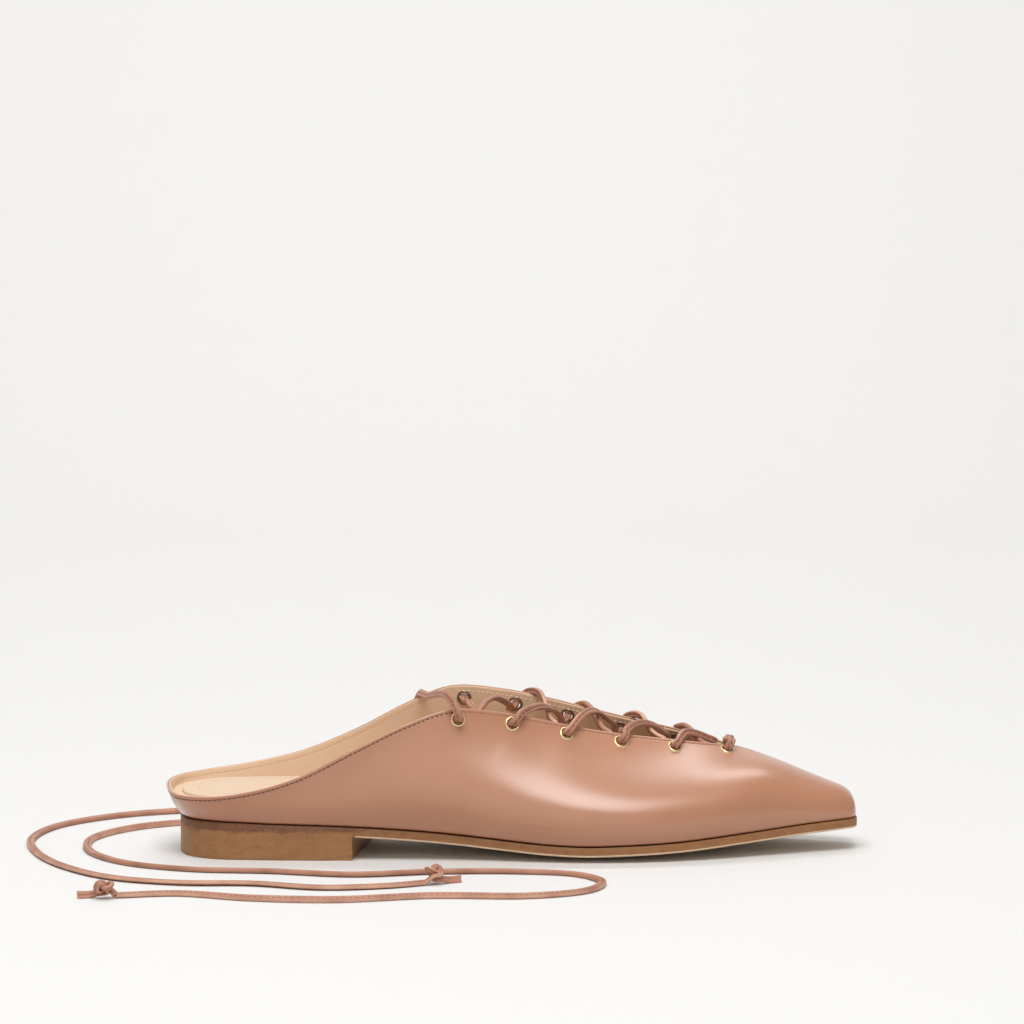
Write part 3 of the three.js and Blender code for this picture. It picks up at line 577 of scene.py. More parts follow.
def edge_finish(name, light, dark):
    """Cut sole leather, sanded, stained and waxed: a low sheen over short dark fibres.

    It is darker in its top layer over the heel, down to a ragged edge. The fibres, 0.2 mm
    thick, are too fine to show and are drawn four times as coarse.
    """
    material, tree, place = new_material(name)
    flat = add_node(tree, "Mapping", {"Vector": place, "Scale": (1, 1, 2.5)})
    cloud = add_node(tree, "TexNoise", {
        "Vector": flat.outputs["Vector"], "Scale": grain_scale(5), "Detail": 3.0, "Roughness": 0.6})
    fibre = add_node(tree, "TexNoise", {
        "Vector": flat.outputs["Vector"], "Scale": grain_scale(0.8), "Detail": 3.0, "Roughness": 0.7})
    cloudy = add_node(tree, "MapRange", {
        "Value": cloud.outputs["Fac"], "From Min": 0.35, "From Max": 0.7, "To Max": 0.3})
    mottled = add_node(tree, "MapRange", {
        "Value": fibre.outputs["Fac"], "From Min": 0.42, "From Max": 0.75, "To Max": 0.6})
    axis = add_node(tree, "SeparateXYZ", {"Vector": place})
    # The edge gets darker towards its top over the heel, down to a line that wanders with the clouds.
    ragged = add_node(tree, "Math", {
        0: cloud.outputs["Fac"], 1: DARKENING_WANDER, 2: axis.outputs["Z"]}, operation="MULTIPLY_ADD")
    high = add_node(tree, "MapRange", {
        "Value": ragged.outputs["Value"], "From Min": DARKENING_EDGE[0], "From Max": DARKENING_EDGE[1],
        "To Max": 0.6})
    back = add_node(tree, "MapRange", {
        "Value": axis.outputs["X"], "From Min": DARKENING_FRONT[0], "From Max": DARKENING_FRONT[1]})
    top_darkening = add_node(tree, "Math", {
        0: high.outputs["Result"], 1: back.outputs["Result"]}, operation="MULTIPLY")
    both = add_node(tree, "Math", {
        0: mottled.outputs["Result"], 1: cloudy.outputs["Result"]}, operation="ADD")
    dark_share = add_node(tree, "Math", {
        0: both.outputs["Value"], 1: top_darkening.outputs["Value"]}, operation="ADD", use_clamp=True)
    colour = add_node(tree, "Mix", {
        "Factor": dark_share.outputs["Value"], MIX_FIRST: light, MIX_SECOND: dark}, data_type="RGBA")
    roughness = add_node(tree, "MapRange", {
        "Value": fibre.outputs["Fac"], "From Min": 0.3, "From Max": 0.7, "To Min": 0.38, "To Max": 0.58})
    bump = add_node(tree, "Bump", {
        "Height": fibre.outputs["Fac"], "Distance": 0.06 * MM, "Strength": 0.5})
    shader = add_node(tree, "BsdfPrincipled", {
        "Base Color": colour.outputs[MIX_RESULT], "Roughness": roughness.outputs["Result"],
        "IOR": 1.48, "Normal": bump.outputs["Normal"]})
    add_node(tree, "OutputMaterial", {"Surface": shader.outputs["BSDF"]})
    return material


def thread_finish(name, colour):
    """Bonded polyester thread, pulled tight into the leather: a fine dull line of dashes.

    Its twist, a turn for each 0.25 mm, shows only as a slight unevenness.
    """
    material, tree, place = new_material(name)
    twist = add_node(tree, "TexNoise", {"Vector": place, "Scale": grain_scale(0.25)})
    bump = add_node(tree, "Bump", {
        "Height": twist.outputs["Fac"], "Distance": 0.04 * MM, "Strength": 0.5})
    shader = add_node(tree, "BsdfPrincipled", {
        "Base Color": colour, "Roughness": 0.6, "IOR": 1.5, "Normal": bump.outputs["Normal"]})
    add_node(tree, "OutputMaterial", {"Surface": shader.outputs["BSDF"]})
    return material


def brass_finish(name, colour, roughness):
    """Pressed brass, tumbled before it was plated: a soft shine with faint scuffs 1.2 mm wide."""
    material, tree, place = new_material(name)
    scuffs = add_node(tree, "TexNoise", {"Vector": place, "Scale": grain_scale(1.2), "Detail": 3.0})
    dulled = add_node(tree, "MapRange", {
        "Value": scuffs.outputs["Fac"], "From Min": 0.35, "From Max": 0.7,
        "To Min": roughness, "To Max": roughness + SCUFF_ROUGHNESS})
    shader = add_node(tree, "BsdfPrincipled", {
        "Base Color": colour, "Metallic": 1.0, "Roughness": dulled.outputs["Result"]})
    add_node(tree, "OutputMaterial", {"Surface": shader.outputs["BSDF"]})
    return material


def paper_finish(colours):
    """Seamless studio paper, calendered: matt and even, with fibres of 2 mm."""
    material, tree, place = new_material("Seamless paper")
    fibres = add_node(tree, "TexNoise", {"Vector": place, "Scale": grain_scale(2)})
    bump = add_node(tree, "Bump", {
        "Height": fibres.outputs["Fac"], "Distance": 0.02 * MM, "Strength": 0.2})
    shader = add_node(tree, "BsdfPrincipled", {
        "Base Color": colours.floor, "Roughness": 0.9, "IOR": 1.45, "Normal": bump.outputs["Normal"]})
    add_node(tree, "OutputMaterial", {"Surface": shader.outputs["BSDF"]})
    return material


def make_object(name, vertices, faces, materials, looks=None, sharp=40.0, merge=True):
    """A smooth-shaded mesh object; looks gives each face its material's number."""
    mesh = bpy.data.meshes.new(name)
    mesh.from_pydata(np.asarray(vertices, float).tolist(), [], faces)
    if looks is not None:
        mesh.polygons.foreach_set("material_index", looks)
    work = bmesh.new()
    work.from_mesh(mesh)
    if merge:
        bmesh.ops.remove_doubles(work, verts=work.verts, dist=1e-6)
    bmesh.ops.recalc_face_normals(work, faces=work.faces)
    work.to_mesh(mesh)
    work.free()
    for material in materials:
        mesh.materials.append(material)
    mesh.shade_smooth()
    mesh.set_sharp_from_angle(angle=math.radians(sharp))
    made = bpy.data.objects.new(name, mesh)
    bpy.context.scene.collection.objects.link(made)
    return made


def gather(shape, more):
    """Adds vertices, faces and looks to those of a growing shape."""
    vertices, faces, looks = shape
    found, quads, numbers = more
    faces.extend(tuple(v + len(vertices) for v in quad) for quad in quads)
    vertices.extend(found)
    looks.extend(numbers)


def closed_tube(rings, sides):
    """Faces of a tube, ring by ring, and then of its two ends."""
    faces = []
    for start in range(0, (rings - 1) * sides, sides):
        for k in range(sides):
            q = (k + 1) % sides
            faces.append((start + k, start + q, start + sides + q, start + sides + k))
    ends = (0, (rings - 1) * sides)
    return faces + [tuple(range(start, start + sides)) for start in ends]


def dress(piece, slot, *nodes):
    """The piece rides on the shoe's one body and stands for those nodes; slot is not used."""
    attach(piece, "root")
    if nodes:
        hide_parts(*nodes)


# The upper's mesh, and the small shapes that its making leaves in its faces
COLUMNS_A_SIDE = 300
RIM_ROWS = (0, 0.25, 0.5, 0.7, 0.84, 0.95, 1.06, 1.2, 1.4, 1.7, 2.05, 2.5, 3.1)  # below the first
BODY_ROWS = 44
FOOT_ROWS = (1.2, 0.7, 0.35, 0.12, 0)  # above the foot
HOLE_RADIUS = 2.05
HOLE_REACH = 4  # how far from its eyelet the wall can still be cut
CAP_STEPS = 7
OPEN_FADE = 2.5  # the last bit of open topline, where its rounded edge runs out
EDGE_BEAD = (0.4, 0.08)  # width and rise of the turned edge above the seam
BEAD_PLACE = 0.6  # its share of the seam's depth
SEAM_GROOVE = (0.22, -0.17)
FEATHER_GROOVE = (0.45, -0.3)  # where the calf turns in over the sole
LINING_GROOVE = (0.25, 0.14)
LINING_CLEARANCE = 0.04  # between the lining and the calf
# The four neighbours of a grid's cell, each with the two corners of the side between them.
NEIGHBOURS = (
    ((-1, 0), (0, 0), (0, 1)), ((1, 0), (1, 0), (1, 1)),
    ((0, -1), (0, 0), (1, 0)), ((0, 1), (0, 1), (1, 1)),
)


def wall_columns():
    """Distances along the outline of the upper's columns, the throat's among them."""
    share = (THROAT - START) / (END - START)
    before = round(COLUMNS_A_SIDE * share)
    back = np.linspace(START, THROAT, before + 1)
    front = np.linspace(THROAT, END, COLUMNS_A_SIDE - before + 1)
    return np.concatenate([back, front[1:]])


def open_share(at):
    """1 along the open topline, and down to 0 over the last bit before the throat's end."""
    return np.clip((THROAT - at) / OPEN_FADE, 0, 1)


def wall_grid(side, at, first):
    """The outer face as rows of points from the foot up, with normals and depths.

    first is how far below the topline the top row lies where the shoe is open.
    """
    _, reached = rib_lines(side, at)
    lengths = reached[:, -1:]
    near = first * open_share(at)[:, None] + np.array(RIM_ROWS)[None, :]
    foot = lengths - np.array(FOOT_ROWS)[None, :]
    share = np.linspace(0, 1, BODY_ROWS + 2)[None, 1:-1]
    body = near[:, -1:] * (1 - share) + foot[:, :1] * share
    depth = np.hstack([near, body, foot])[:, ::-1]
    points = down_ribs(side, at, depth)
    normals = -side * np.cross(np.gradient(points, axis=0), np.gradient(points, axis=1))
    return points, unit(normals), depth, lengths - depth


def join_normals(grids, at):
    """Makes both sides' normals agree where they meet: the back, the toe and the ridge."""
    outer, inner = grids[OUTER][1], grids[INNER][1]
    for place in ((0, slice(None)), (-1, slice(None)), (at >= THROAT, -1)):
        shared = unit(outer[place] + inner[place])
        outer[place] = shared
        inner[place] = shared


def crease_rise(side, x, depth):
    """How far the creases lift the calf's outer face."""
    rise = np.zeros_like(depth)
    for where, x0, d0, x1, d1, width, height in CREASES:
        if where != side:
            continue
        along = np.array([x1 - x0, d1 - d0], float)
        share = ((x - x0) * along[0] + (depth - d0) * along[1]) / (along @ along)
        share = np.clip(share, 0, 1)
        away = np.hypot(x - x0 - share * along[0], depth - d0 - share * along[1])
        rise += ridge(away, width, height)
    return rise


def hole_cells(side, points):
    """The cells of a wall grid that an eyelet's hole takes away."""
    centres = (points[:-1, :-1] + points[1:, :-1] + points[:-1, 1:] + points[1:, 1:]) / 4
    cut = np.zeros(centres.shape[:2], bool)
    for (where, _), seat in SEATS.items():
        if where == side:
            away = centres - seat.middle
            along = away @ seat.normal
            radius = np.sqrt(np.maximum(0, (away**2).sum(-1) - along**2))
            cut |= (radius < HOLE_RADIUS) & (np.abs(along) < HOLE_REACH)
    return cut


def wall_shell(name, first, outside, inside, material):
    """A closed skin of the wall, with a hole at each eyelet.

    outside and inside give how far its two faces stand out of the wall's outer face. They are
    asked for all spots of one side at once, and a spot is its x, its depth below the topline,
    its height over the foot and how open the shoe is there.
    """
    at = wall_columns()
    grids = {side: list(wall_grid(side, at, first)) for side in SIDES}
    join_normals(grids, at)
    vertices, faces = [], []
    closed = at >= THROAT
    for side in SIDES:
        points, normals, depth, height = grids[side]
        spots = SimpleNamespace(
            side=side, depth=depth, height=height, x=RIB["top_x"](at)[:, None] + np.zeros_like(depth),
            is_open=open_share(at)[:, None] + np.zeros_like(depth))
        layers = [points + normals * reach(spots)[..., None] for reach in (outside, inside)]
        top, under = layers[0][:, -1], layers[1][:, -1]
        tip = unit(grids[side][0][:, -1] - grids[side][0][:, -2])
        turns = np.linspace(0, math.pi, CAP_STEPS + 2)[1:-1]
        middle, half = (top + under) / 2, (top - under) / 2
        bulge = np.linalg.norm(half, axis=1, keepdims=True) * tip * open_share(at)[:, None]
        caps = np.stack([middle + half * math.cos(t) + bulge * math.sin(t) for t in turns], 1)
        rows, base = depth.shape[1], len(vertices)
        size = len(at) * rows
        vertices.extend(np.concatenate([a.reshape(-1, 3) for a in (*layers, caps)]))
        cut = hole_cells(side, points)

        def number(layer, i, j):
            return base + layer * size + i * rows + j

        def cap_number(i, k):
            if k < 0:
                return number(0, i, rows - 1)
            if k >= CAP_STEPS:
                return number(1, i, rows - 1)
            return base + 2 * size + i * CAP_STEPS + k

        for i in range(len(at) - 1):
            faces.append((number(0, i, 0), number(0, i + 1, 0), number(1, i + 1, 0), number(1, i, 0)))
            for j in range(rows - 1):
                if cut[i, j]:
                    continue
                for layer in (0, 1):
                    faces.append(tuple(number(layer, a, b) for a, b in (
                        (i, j), (i + 1, j), (i + 1, j + 1), (i, j + 1))))
            if not closed[i]:
                for k in range(-1, CAP_STEPS):
                    faces.append((cap_number(i, k), cap_number(i + 1, k),
                                  cap_number(i + 1, k + 1), cap_number(i, k + 1)))
        for i, j in zip(*np.nonzero(cut)):
            for (across, along), (a, b), (c, d) in NEIGHBOURS:
                if not cut[i + across, j + along]:
                    faces.append((number(0, i + a, j + b), number(0, i + c, j + d),
                                  number(1, i + c, j + d), number(1, i + a, j + b)))
    return make_object(name, placed(vertices), faces, [material])


STITCH_SIDES = 6
STITCH_RINGS = ((-0.5, 0.25), (-0.38, 0.8), (0, 1.0), (0.38, 0.8), (0.5, 0.25))  # place and girth
STITCH_AIM = 0.4  # the step to either side that gives a stitch's direction
SEAM_SAMPLES = 500
SEAM_SINK, THROAT_SINK = 0.02, 0.1  # how deep the thread's middle lies in the leather
SEAM_END, INNER_SEAM_END = 3.5, 6  # how far before the throat's end the rows stop


def capsules(centres, along, out, size, look=0):
    """One small rounded bar for each centre; size is its length, width and height."""
    length, width, height = size
    across = np.cross(along, out)
    tube = closed_tube(len(STITCH_RINGS), STITCH_SIDES)
    shape = [], [], []
    for centre, t, n, b in zip(centres, along, out, across):
        bar = []
        for share, girth in STITCH_RINGS:
            for k in range(STITCH_SIDES):
                turn = 2 * math.pi * k / STITCH_SIDES
                ring = n * math.cos(turn) * height / 2 + b * math.sin(turn) * width / 2
                bar.append(centre + t * share * length + ring * girth)
        gather(shape, (bar, tube, [look] * len(tube)))
    return shape


def evenly(points, pitch, margin=1.0):
    """Distances along a line at an even pitch, and the line's distances."""
    way = np.concatenate([[0], np.cumsum(np.linalg.norm(np.diff(points, axis=0), axis=1))])
    count = int((way[-1] - 2 * margin) / pitch)
    return margin + (np.arange(count) + 0.5) * (way[-1] - 2 * margin) / count, way


def along_line(way, values, places):
    """Values of a line's points at other distances along it."""
    return np.stack([np.interp(places, way, values[:, k]) for k in range(values.shape[1])], -1)


def stitch_line(line, normals, pitch, size, margin=0.0):
    """A row of stitches along a line, at an even pitch."""
    places, way = evenly(line, pitch, margin)
    centre = along_line(way, line, places)
    ahead, behind = (along_line(way, line, places + step) for step in (STITCH_AIM, -STITCH_AIM))
    return capsules(centre, unit(ahead - behind), unit(along_line(way, normals, places)), size)


def seam_stitches(name, start, end, depth, sink, sizes, material):
    """A row of stitches along the topline of both sides, sunk into the face that they show on."""
    width = sizes.stitch_width / MM
    size = sizes.stitch_length / MM, width, width
    shape = [], [], []
    for side in SIDES:
        at = np.linspace(start, end, SEAM_SAMPLES)
        points, normals, _, _ = seats_at(side, at, depth, SEAT_STEP)
        gather(shape, stitch_line(points - normals * sink, normals, sizes.stitch_pitch / MM, size))
    vertices, faces, looks = shape
    return make_object(name, placed(vertices), faces, [material], looks, merge=False)


def make_upper(sizes, colours):
    """The calf with its turned edge, its lining, and both sides of the topline seam."""
    calf, seam, inner = sizes.calf / MM, sizes.seam_depth / MM, sizes.inner_seam / MM

    def calf_outside(spots):
        edge = ridge(spots.depth - seam * BEAD_PLACE, *EDGE_BEAD) + ridge(spots.depth - seam, *SEAM_GROOVE)
        feather = ridge(spots.height, *FEATHER_GROOVE)
        return edge * spots.is_open + feather + crease_rise(spots.side, spots.x, spots.depth)

    def calf_inside(spots):
        return -calf + crease_rise(spots.side, spots.x, spots.depth)

    def lining_outside(spots):
        return np.full_like(spots.depth, -calf - LINING_CLEARANCE)

    def lining_inside(spots):
        return -WALL + ridge(spots.depth - inner, *LINING_GROOVE) * spots.is_open

    upper = wall_shell("calf_upper", calf / 2, calf_outside, calf_inside, calf_finish(colours))
    dress(upper, "upper_leather", "upper")
    first = sizes.lining_drop / MM + (WALL - calf) / 2
    lining = wall_shell("wall_lining", first, lining_outside, lining_inside, lining_finish(colours))
    dress(lining, "upper_leather")
    # The topline's one thread is drawn in two colours. Along the collar it is dark: partly its own colour,
    # partly painted shade of the sunk stitch holes. Along the throat it is drawn in the calf's deeper
    # colour, without that painted shade.
    dark = thread_finish("Topline thread", colours.thread)
    soft = thread_finish("Throat thread", colours.calf_deep)
    pale = thread_finish("Inner thread", colours.thread_pale)
    undyed = thread_finish("Inner collar thread", colours.lining)
    eyelet = rib_over(EYELET_ROWS[OUTER]["first"])
    rows = (
        ("collar_stitches", START, eyelet, seam, SEAM_SINK, dark),
        ("throat_stitches", eyelet, THROAT - SEAM_END, seam, THROAT_SINK, soft),
        ("inner_collar_stitches", START, eyelet, inner, WALL + SEAM_SINK, undyed),
        ("inner_stitches", eyelet, THROAT - INNER_SEAM_END, inner, WALL + SEAM_SINK, pale),
    )
    for name, start, end, depth, sink, thread in rows:
        dress(seam_stitches(name, start, end, depth, sink, sizes, thread), "upper_leather")


SLAB_COLUMNS = 240
SPINE_STEPS = 9
SPINE_SHARES = [k / SPINE_STEPS for k in range(SPINE_STEPS)]  # the rows between spine and edge


def slab_edges():
    """The foot outline at the slabs' columns: points and inward directions on each side."""
    edges = {}
    for side in SIDES:
        point, inward = outline(side, SLAB_AT)
        point[[0, -1], 1] = 0
        inward[0], inward[-1] = (1, 0), (-1, 0)
        edges[side] = point, inward
    return edges


SLAB_AT = np.linspace(START, END, SLAB_COLUMNS)
SLAB_EDGES = slab_edges()
SLAB_SPINE = np.clip((SLAB_EDGES[OUTER][0][:, 0] + SLAB_EDGES[INNER][0][:, 0]) / 2, *SPINE)


def slab_row(inset, height_at, lift=0.0, share=1.0):
    """A row of a slab's skin, that share of the way from its middle to an inset outline.

    It lies that lift above the height that height_at gives.
    """

    def row(side):
        point, inward = SLAB_EDGES[side]
        spine = np.column_stack([SLAB_SPINE, np.zeros_like(SLAB_SPINE)])
        place = spine * (1 - share) + (point + inward * np.reshape(inset, (-1, 1))) * share
        return np.column_stack([place, height_at(place[:, 0], place[:, 1]) + lift])

    return row


def slab_object(name, rows, materials, look_of=None):
    """A closed slab that follows the foot outline, from rows that go round its section."""
    vertices, faces, looks = [], [], []
    for side in SIDES:
        grid = np.stack([row(side) for row in rows], 1)
        base, count = len(vertices), grid.shape[1]
        vertices.extend(grid.reshape(-1, 3))
        for i in range(len(grid) - 1):
            for j in range(count - 1):
                a, b = base + i * count + j, base + (i + 1) * count + j
                faces.append((a, b, b + 1, a + 1))
                looks.append(look_of(side, grid[i, j, 0], j) if look_of else 0)
    return make_object(name, placed(vertices), faces, materials, looks, sharp=50)


SOLE_FACE = 0.5  # the inset from which the sole's top and underside are flat
# The sole's edge from its top down, each row as inset from the edge and lift: over the lip, at
# the lip, and under it.
SOLE_UPPER_EDGE = ((SOLE_FACE, 0), (0.16, -0.06), (0, -0.3), (-0.05, -1.2), (-0.05, -2.2))
SOLE_LIP_EDGE = ((-0.02, 0), (-0.05, -0.06))
SOLE_LOWER_EDGE = ((-0.02, 0.3), (0.15, 0.08), (SOLE_FACE, 0))


def breast_line(side, y):
    """Where the heel's slanting breast is, that far out on one side."""
    slope = math.tan(math.radians(HEEL_BREAST_SLANT))
    return HEEL_BREAST_X + half_width(OUTER, HEEL_BREAST_X) * slope + side * y * slope


def make_sole(sizes, colours):
    """The outsole with its waxed edge and pale lower lip, and the heel block under it."""
    lip, edge = sizes.lip / MM, -SOLE_MARGIN
    rows = [slab_row(edge + SOLE_FACE, sole_top, 0, s) for s in SPINE_SHARES]
    rows += [slab_row(edge + inset, sole_top, lift) for inset, lift in SOLE_UPPER_EDGE]
    lip_row = len(rows)
    rows += [slab_row(edge + inset, sole_bottom, lip + lift) for inset, lift in SOLE_LIP_EDGE]
    rows += [slab_row(edge + inset, sole_bottom, lift) for inset, lift in SOLE_LOWER_EDGE]
    rows += [slab_row(edge + SOLE_FACE, sole_bottom, 0, s) for s in reversed(SPINE_SHARES)]
    limit = {side: breast_line(side, half_width(side, breast_line(side, 0))) for side in SIDES}

    def look_of(side, x, row):
        return 1 if row >= lip_row and x > limit[side] else 0

    edge_wax = edge_finish("Waxed sole edge", colours.sole, colours.sole_dark)
    sole = slab_object("leather_sole", rows, [edge_wax, sole_finish(colours)], look_of)
    dress(sole, "sole_leather", "outsole")
    make_heel(colours)


HEEL_PROUD = 0.07  # of the sole's edge, since both were sanded as one
HEEL_COVER = 0.8  # how far the heel's side hides the sole's lower corner
HEEL_SAMPLES, HEEL_EVERY = 900, 4  # of the outline, and how many of them make a corner
# The rows of its side, as height over the floor and how far they stand out.
HEEL_LEVELS = ((0, -0.35), (0.12, -0.1), (0.4, 0), *((h, 0) for h in np.linspace(1.2, 9.4, 7)))


def make_heel(colours):
    """A block of stacked leather with an upright side and a slanting breast."""
    at = np.linspace(START, END, HEEL_SAMPLES)
    rims = []
    for side in SIDES:
        point, inward = outline(side, at)
        rim = point - inward * (SOLE_MARGIN + HEEL_PROUD)
        inside = rim[:, 0] < breast_line(1, rim[:, 1])
        rims.append(rim[inside][::HEEL_EVERY])
    loop = np.vstack([rims[0][::-1], rims[1][1:]])
    count = len(loop)
    middle = loop.mean(0)
    vertices = []
    for height, grow in HEEL_LEVELS:
        ring = loop + unit(loop - middle) * grow
        vertices.extend(np.column_stack([ring, np.full(count, height)]))
    top = np.column_stack([loop, sole_bottom(loop[:, 0], loop[:, 1]) + HEEL_COVER])
    vertices.extend(top)
    faces = closed_tube(len(HEEL_LEVELS) + 1, count)
    wax = edge_finish("Waxed stacked leather", colours.heel, colours.heel_dark)
    block = make_object("stacked_heel", placed(vertices), faces, [wax], sharp=35)
    dress(block, "heel_leather", "heel")


LEDGE_DROP = 1.1  # from the footbed's face to the ledge round it
LEDGE_THICKNESS = 0.8
LEDGE_GAP = 0.1  # between the ledge and the lining
LEDGE_FOOT = 0.2  # the ledge meets the lining at least that far up the wall
PAD_INSET = 6.4  # from the footbed's edge to the stitches of the heel seat
PAD_FRONT = 66  # the x where they end
PAD_PITCH = 2.0
PAD_STITCH = (0.9, 0.4, 0.16)
PAD_EVERY = 6  # of the fine samples of the outline
FOOTBED_FACE = 1.6  # the inset from which its face is flat
# The footbed's rounded edge from its face down, as inset and lift.
FOOTBED_EDGE = ((FOOTBED_FACE, 0), (0.7, -0.06), (0.3, -0.22), (0.12, -0.5), (0.1, -LEDGE_DROP))
LEDGE_ROW = SPINE_STEPS + len(FOOTBED_EDGE) - 1  # the row where the footbed's section meets it


def ledge_edge(side):
    """Where the ledge round the footbed meets the lining, at the slabs' columns."""
    lines, reached = rib_lines(side, SLAB_AT)
    point, _ = SLAB_EDGES[side]
    level = footbed_top(point[:, 0], point[:, 1]) - LEDGE_DROP
    depth = np.array([
        way[-1] - np.interp(z, line[:, 2], way) for line, way, z in zip(lines, reached, level)])
    depth = np.minimum(depth, reached[:, -1] - LEDGE_FOOT)
    place, normal, _, _ = seats_at(side, SLAB_AT, depth, SEAT_STEP)
    return np.column_stack([(place - normal * (WALL + LEDGE_GAP))[:, :2], level])


def make_insole(colours):
    """The footbed with its padded heel, a ledge round it and a line of fine stitches."""
    x = SLAB_EDGES[OUTER][0][:, 0]
    edge = INSOLE_INSET - INSOLE_FLARE * insole_thickness(x)
    ledges = {side: ledge_edge(side) for side in SIDES}
    for ledge in ledges.values():
        ledge[[0, -1], 1] = 0
    rows = [slab_row(edge + FOOTBED_FACE, footbed_top, 0, s) for s in SPINE_SHARES]
    rows += [slab_row(edge + inset, footbed_top, lift) for inset, lift in FOOTBED_EDGE]
    rows += [lambda side: ledges[side], lambda side: ledges[side] - (0, 0, LEDGE_THICKNESS)]
    rows += [slab_row(INSOLE_INSET, sole_top, INSOLE_GAP, s) for s in (1.0, *reversed(SPINE_SHARES))]

    def look_of(side, x, row):
        return 1 if row >= LEDGE_ROW else 0

    footbed = slab_object("footbed", rows, [footbed_finish(colours), lining_finish(colours)], look_of)
    dress(footbed, "footbed_leather", "insole")
    at = FINE[FINE_FOOT_X < PAD_FRONT][::PAD_EVERY]
    shape = [], [], []
    for side in SIDES:
        point, inward = outline(side, at)
        place = point + inward * PAD_INSET
        line = np.column_stack([place, footbed_top(place[:, 0], place[:, 1])])
        line = line[line[:, 1] * side > 0]
        upright = np.tile([0.0, 0.0, 1.0], (len(line), 1))
        gather(shape, stitch_line(line, upright, PAD_PITCH, PAD_STITCH, margin=1.0))
    thread = thread_finish("Footbed thread", colours.footbed_thread)
    vertices, faces, looks = shape
    pad = make_object("heel_seat_stitches", placed(vertices), faces, [thread], looks, merge=False)
    dress(pad, "footbed_leather")


EYELET_SIDES = 48
GOLD_ROUGHNESS, BRONZE_ROUGHNESS = 0.26, 0.34


def make_eyelets(sizes, colours):
    """Twelve brass eyelets: a rolled flange outside, a barrel, and a flat washer inside."""
    radius, bore = sizes.eyelet_radius / MM, sizes.eyelet_bore / MM
    barrel, back = bore + 0.3, -WALL
    # Its section as radius and height over the wall's outer face, round from the flange's rim.
    profile = [
        (radius, -0.12), (radius, 0.1), (radius - 0.1, 0.3), (radius - 0.28, 0.46),
        (radius - 0.5, 0.5), (bore + 0.2, 0.42), (bore + 0.05, 0.24), (bore, 0), (bore, back - 0.2),
        (bore + 0.08, back - 0.42), (bore + 0.3, back - 0.52), (radius - 0.15, back - 0.42),
        (radius, back - 0.28), (radius, back - 0.02), (barrel, back - 0.02), (barrel, -0.12),
    ]
    back_rows = range(profile.index((bore, back - 0.2)), profile.index((barrel, back - 0.02)))
    gold = brass_finish("Gold-plated brass", colours.gold, GOLD_ROUGHNESS)
    bronze = brass_finish("Unplated brass back", colours.bronze, BRONZE_ROUGHNESS)
    for (side, k), seat in SEATS.items():
        across = unit(np.cross(seat.normal, seat.ahead))
        ahead = unit(np.cross(across, seat.normal))
        vertices, faces, looks = [], [], []
        for n in range(EYELET_SIDES):
            turn = 2 * math.pi * n / EYELET_SIDES
            spoke = ahead * math.cos(turn) + across * math.sin(turn)
            vertices.extend(seat.middle + spoke * r + seat.normal * h for r, h in profile)
        size = len(profile)
        for n in range(EYELET_SIDES):
            a, b = n * size, ((n + 1) % EYELET_SIDES) * size
            for j in range(size):
                q = (j + 1) % size
                faces.append((a + j, b + j, b + q, a + q))
                looks.append(1 if j in back_rows else 0)
        name = f"{SIDE_NAME[side]}_{k}"
        ring = make_object("ring_" + name, placed(vertices), faces, [gold, bronze], looks, sharp=60)
        dress(ring, "eyelet_metal", "eyelet_" + name)


def rounded_path(points, step):
    """A smooth line through given points (centripetal), with a sample about every step."""
    points = np.asarray(points, float)
    first, last = 2 * points[0] - points[1], 2 * points[-1] - points[-2]
    ends = np.vstack([first, points, last])
    found = []
    for i in range(len(points) - 1):
        p0, p1, p2, p3 = ends[i:i + 4]
        d0, d1, d2 = (max(np.linalg.norm(b - a) ** 0.5, 1e-4) for a, b in ((p0, p1), (p1, p2), (p2, p3)))
        t1 = ((p1 - p0) / d0 - (p2 - p0) / (d0 + d1) + (p2 - p1) / d1) * d1
        t2 = ((p2 - p1) / d1 - (p3 - p1) / (d1 + d2) + (p3 - p2) / d2) * d1
        count = max(2, math.ceil(np.linalg.norm(p2 - p1) / step))
        s = np.arange(count)[:, None] / count
        cubic = 2 * p1 - 2 * p2 + t1 + t2
        square = -3 * p1 + 3 * p2 - 2 * t1 - t2
        found.append(cubic * s**3 + square * s**2 + t1 * s + p1)
    found.append(points[-1:])
    return np.vstack(found)


def nearest(path, point):
    """The number of the sample nearest to a point."""
    return int(np.argmin(np.linalg.norm(path - point, axis=1)))


def strip_frames(path, anchors):
    """Tangents and flat normals along a strip that turns as little as it can.

    anchors are (sample number, wished normal); the turn between two of them is spread evenly.
    """
    tangents = unit(np.gradient(path, axis=0))
    normals = np.empty_like(path)
    start = np.cross(tangents[0], (0.3, 0.5, 0.8))  # any direction that isn't the strip's own
    normals[0] = unit(np.cross(start, tangents[0]))
    for i in range(1, len(path)):
        moved = normals[i - 1] - tangents[i] * (normals[i - 1] @ tangents[i])
        normals[i] = unit(moved)
    places, turns = [], []
    for i, wish in sorted(anchors, key=lambda anchor: anchor[0]):
        wish = np.asarray(wish, float)
        flat = wish - tangents[i] * (wish @ tangents[i])
        side = np.cross(tangents[i], normals[i])
        turn = math.atan2(flat @ side, flat @ normals[i])
        if turns:
            turn += math.pi * round((turns[-1] - turn) / math.pi)
        places.append(i)
        turns.append(turn)
    turn = np.interp(np.arange(len(path)), places, turns)[:, None]
    sides = np.cross(tangents, normals)
    return tangents, normals * np.cos(turn) + sides * np.sin(turn)


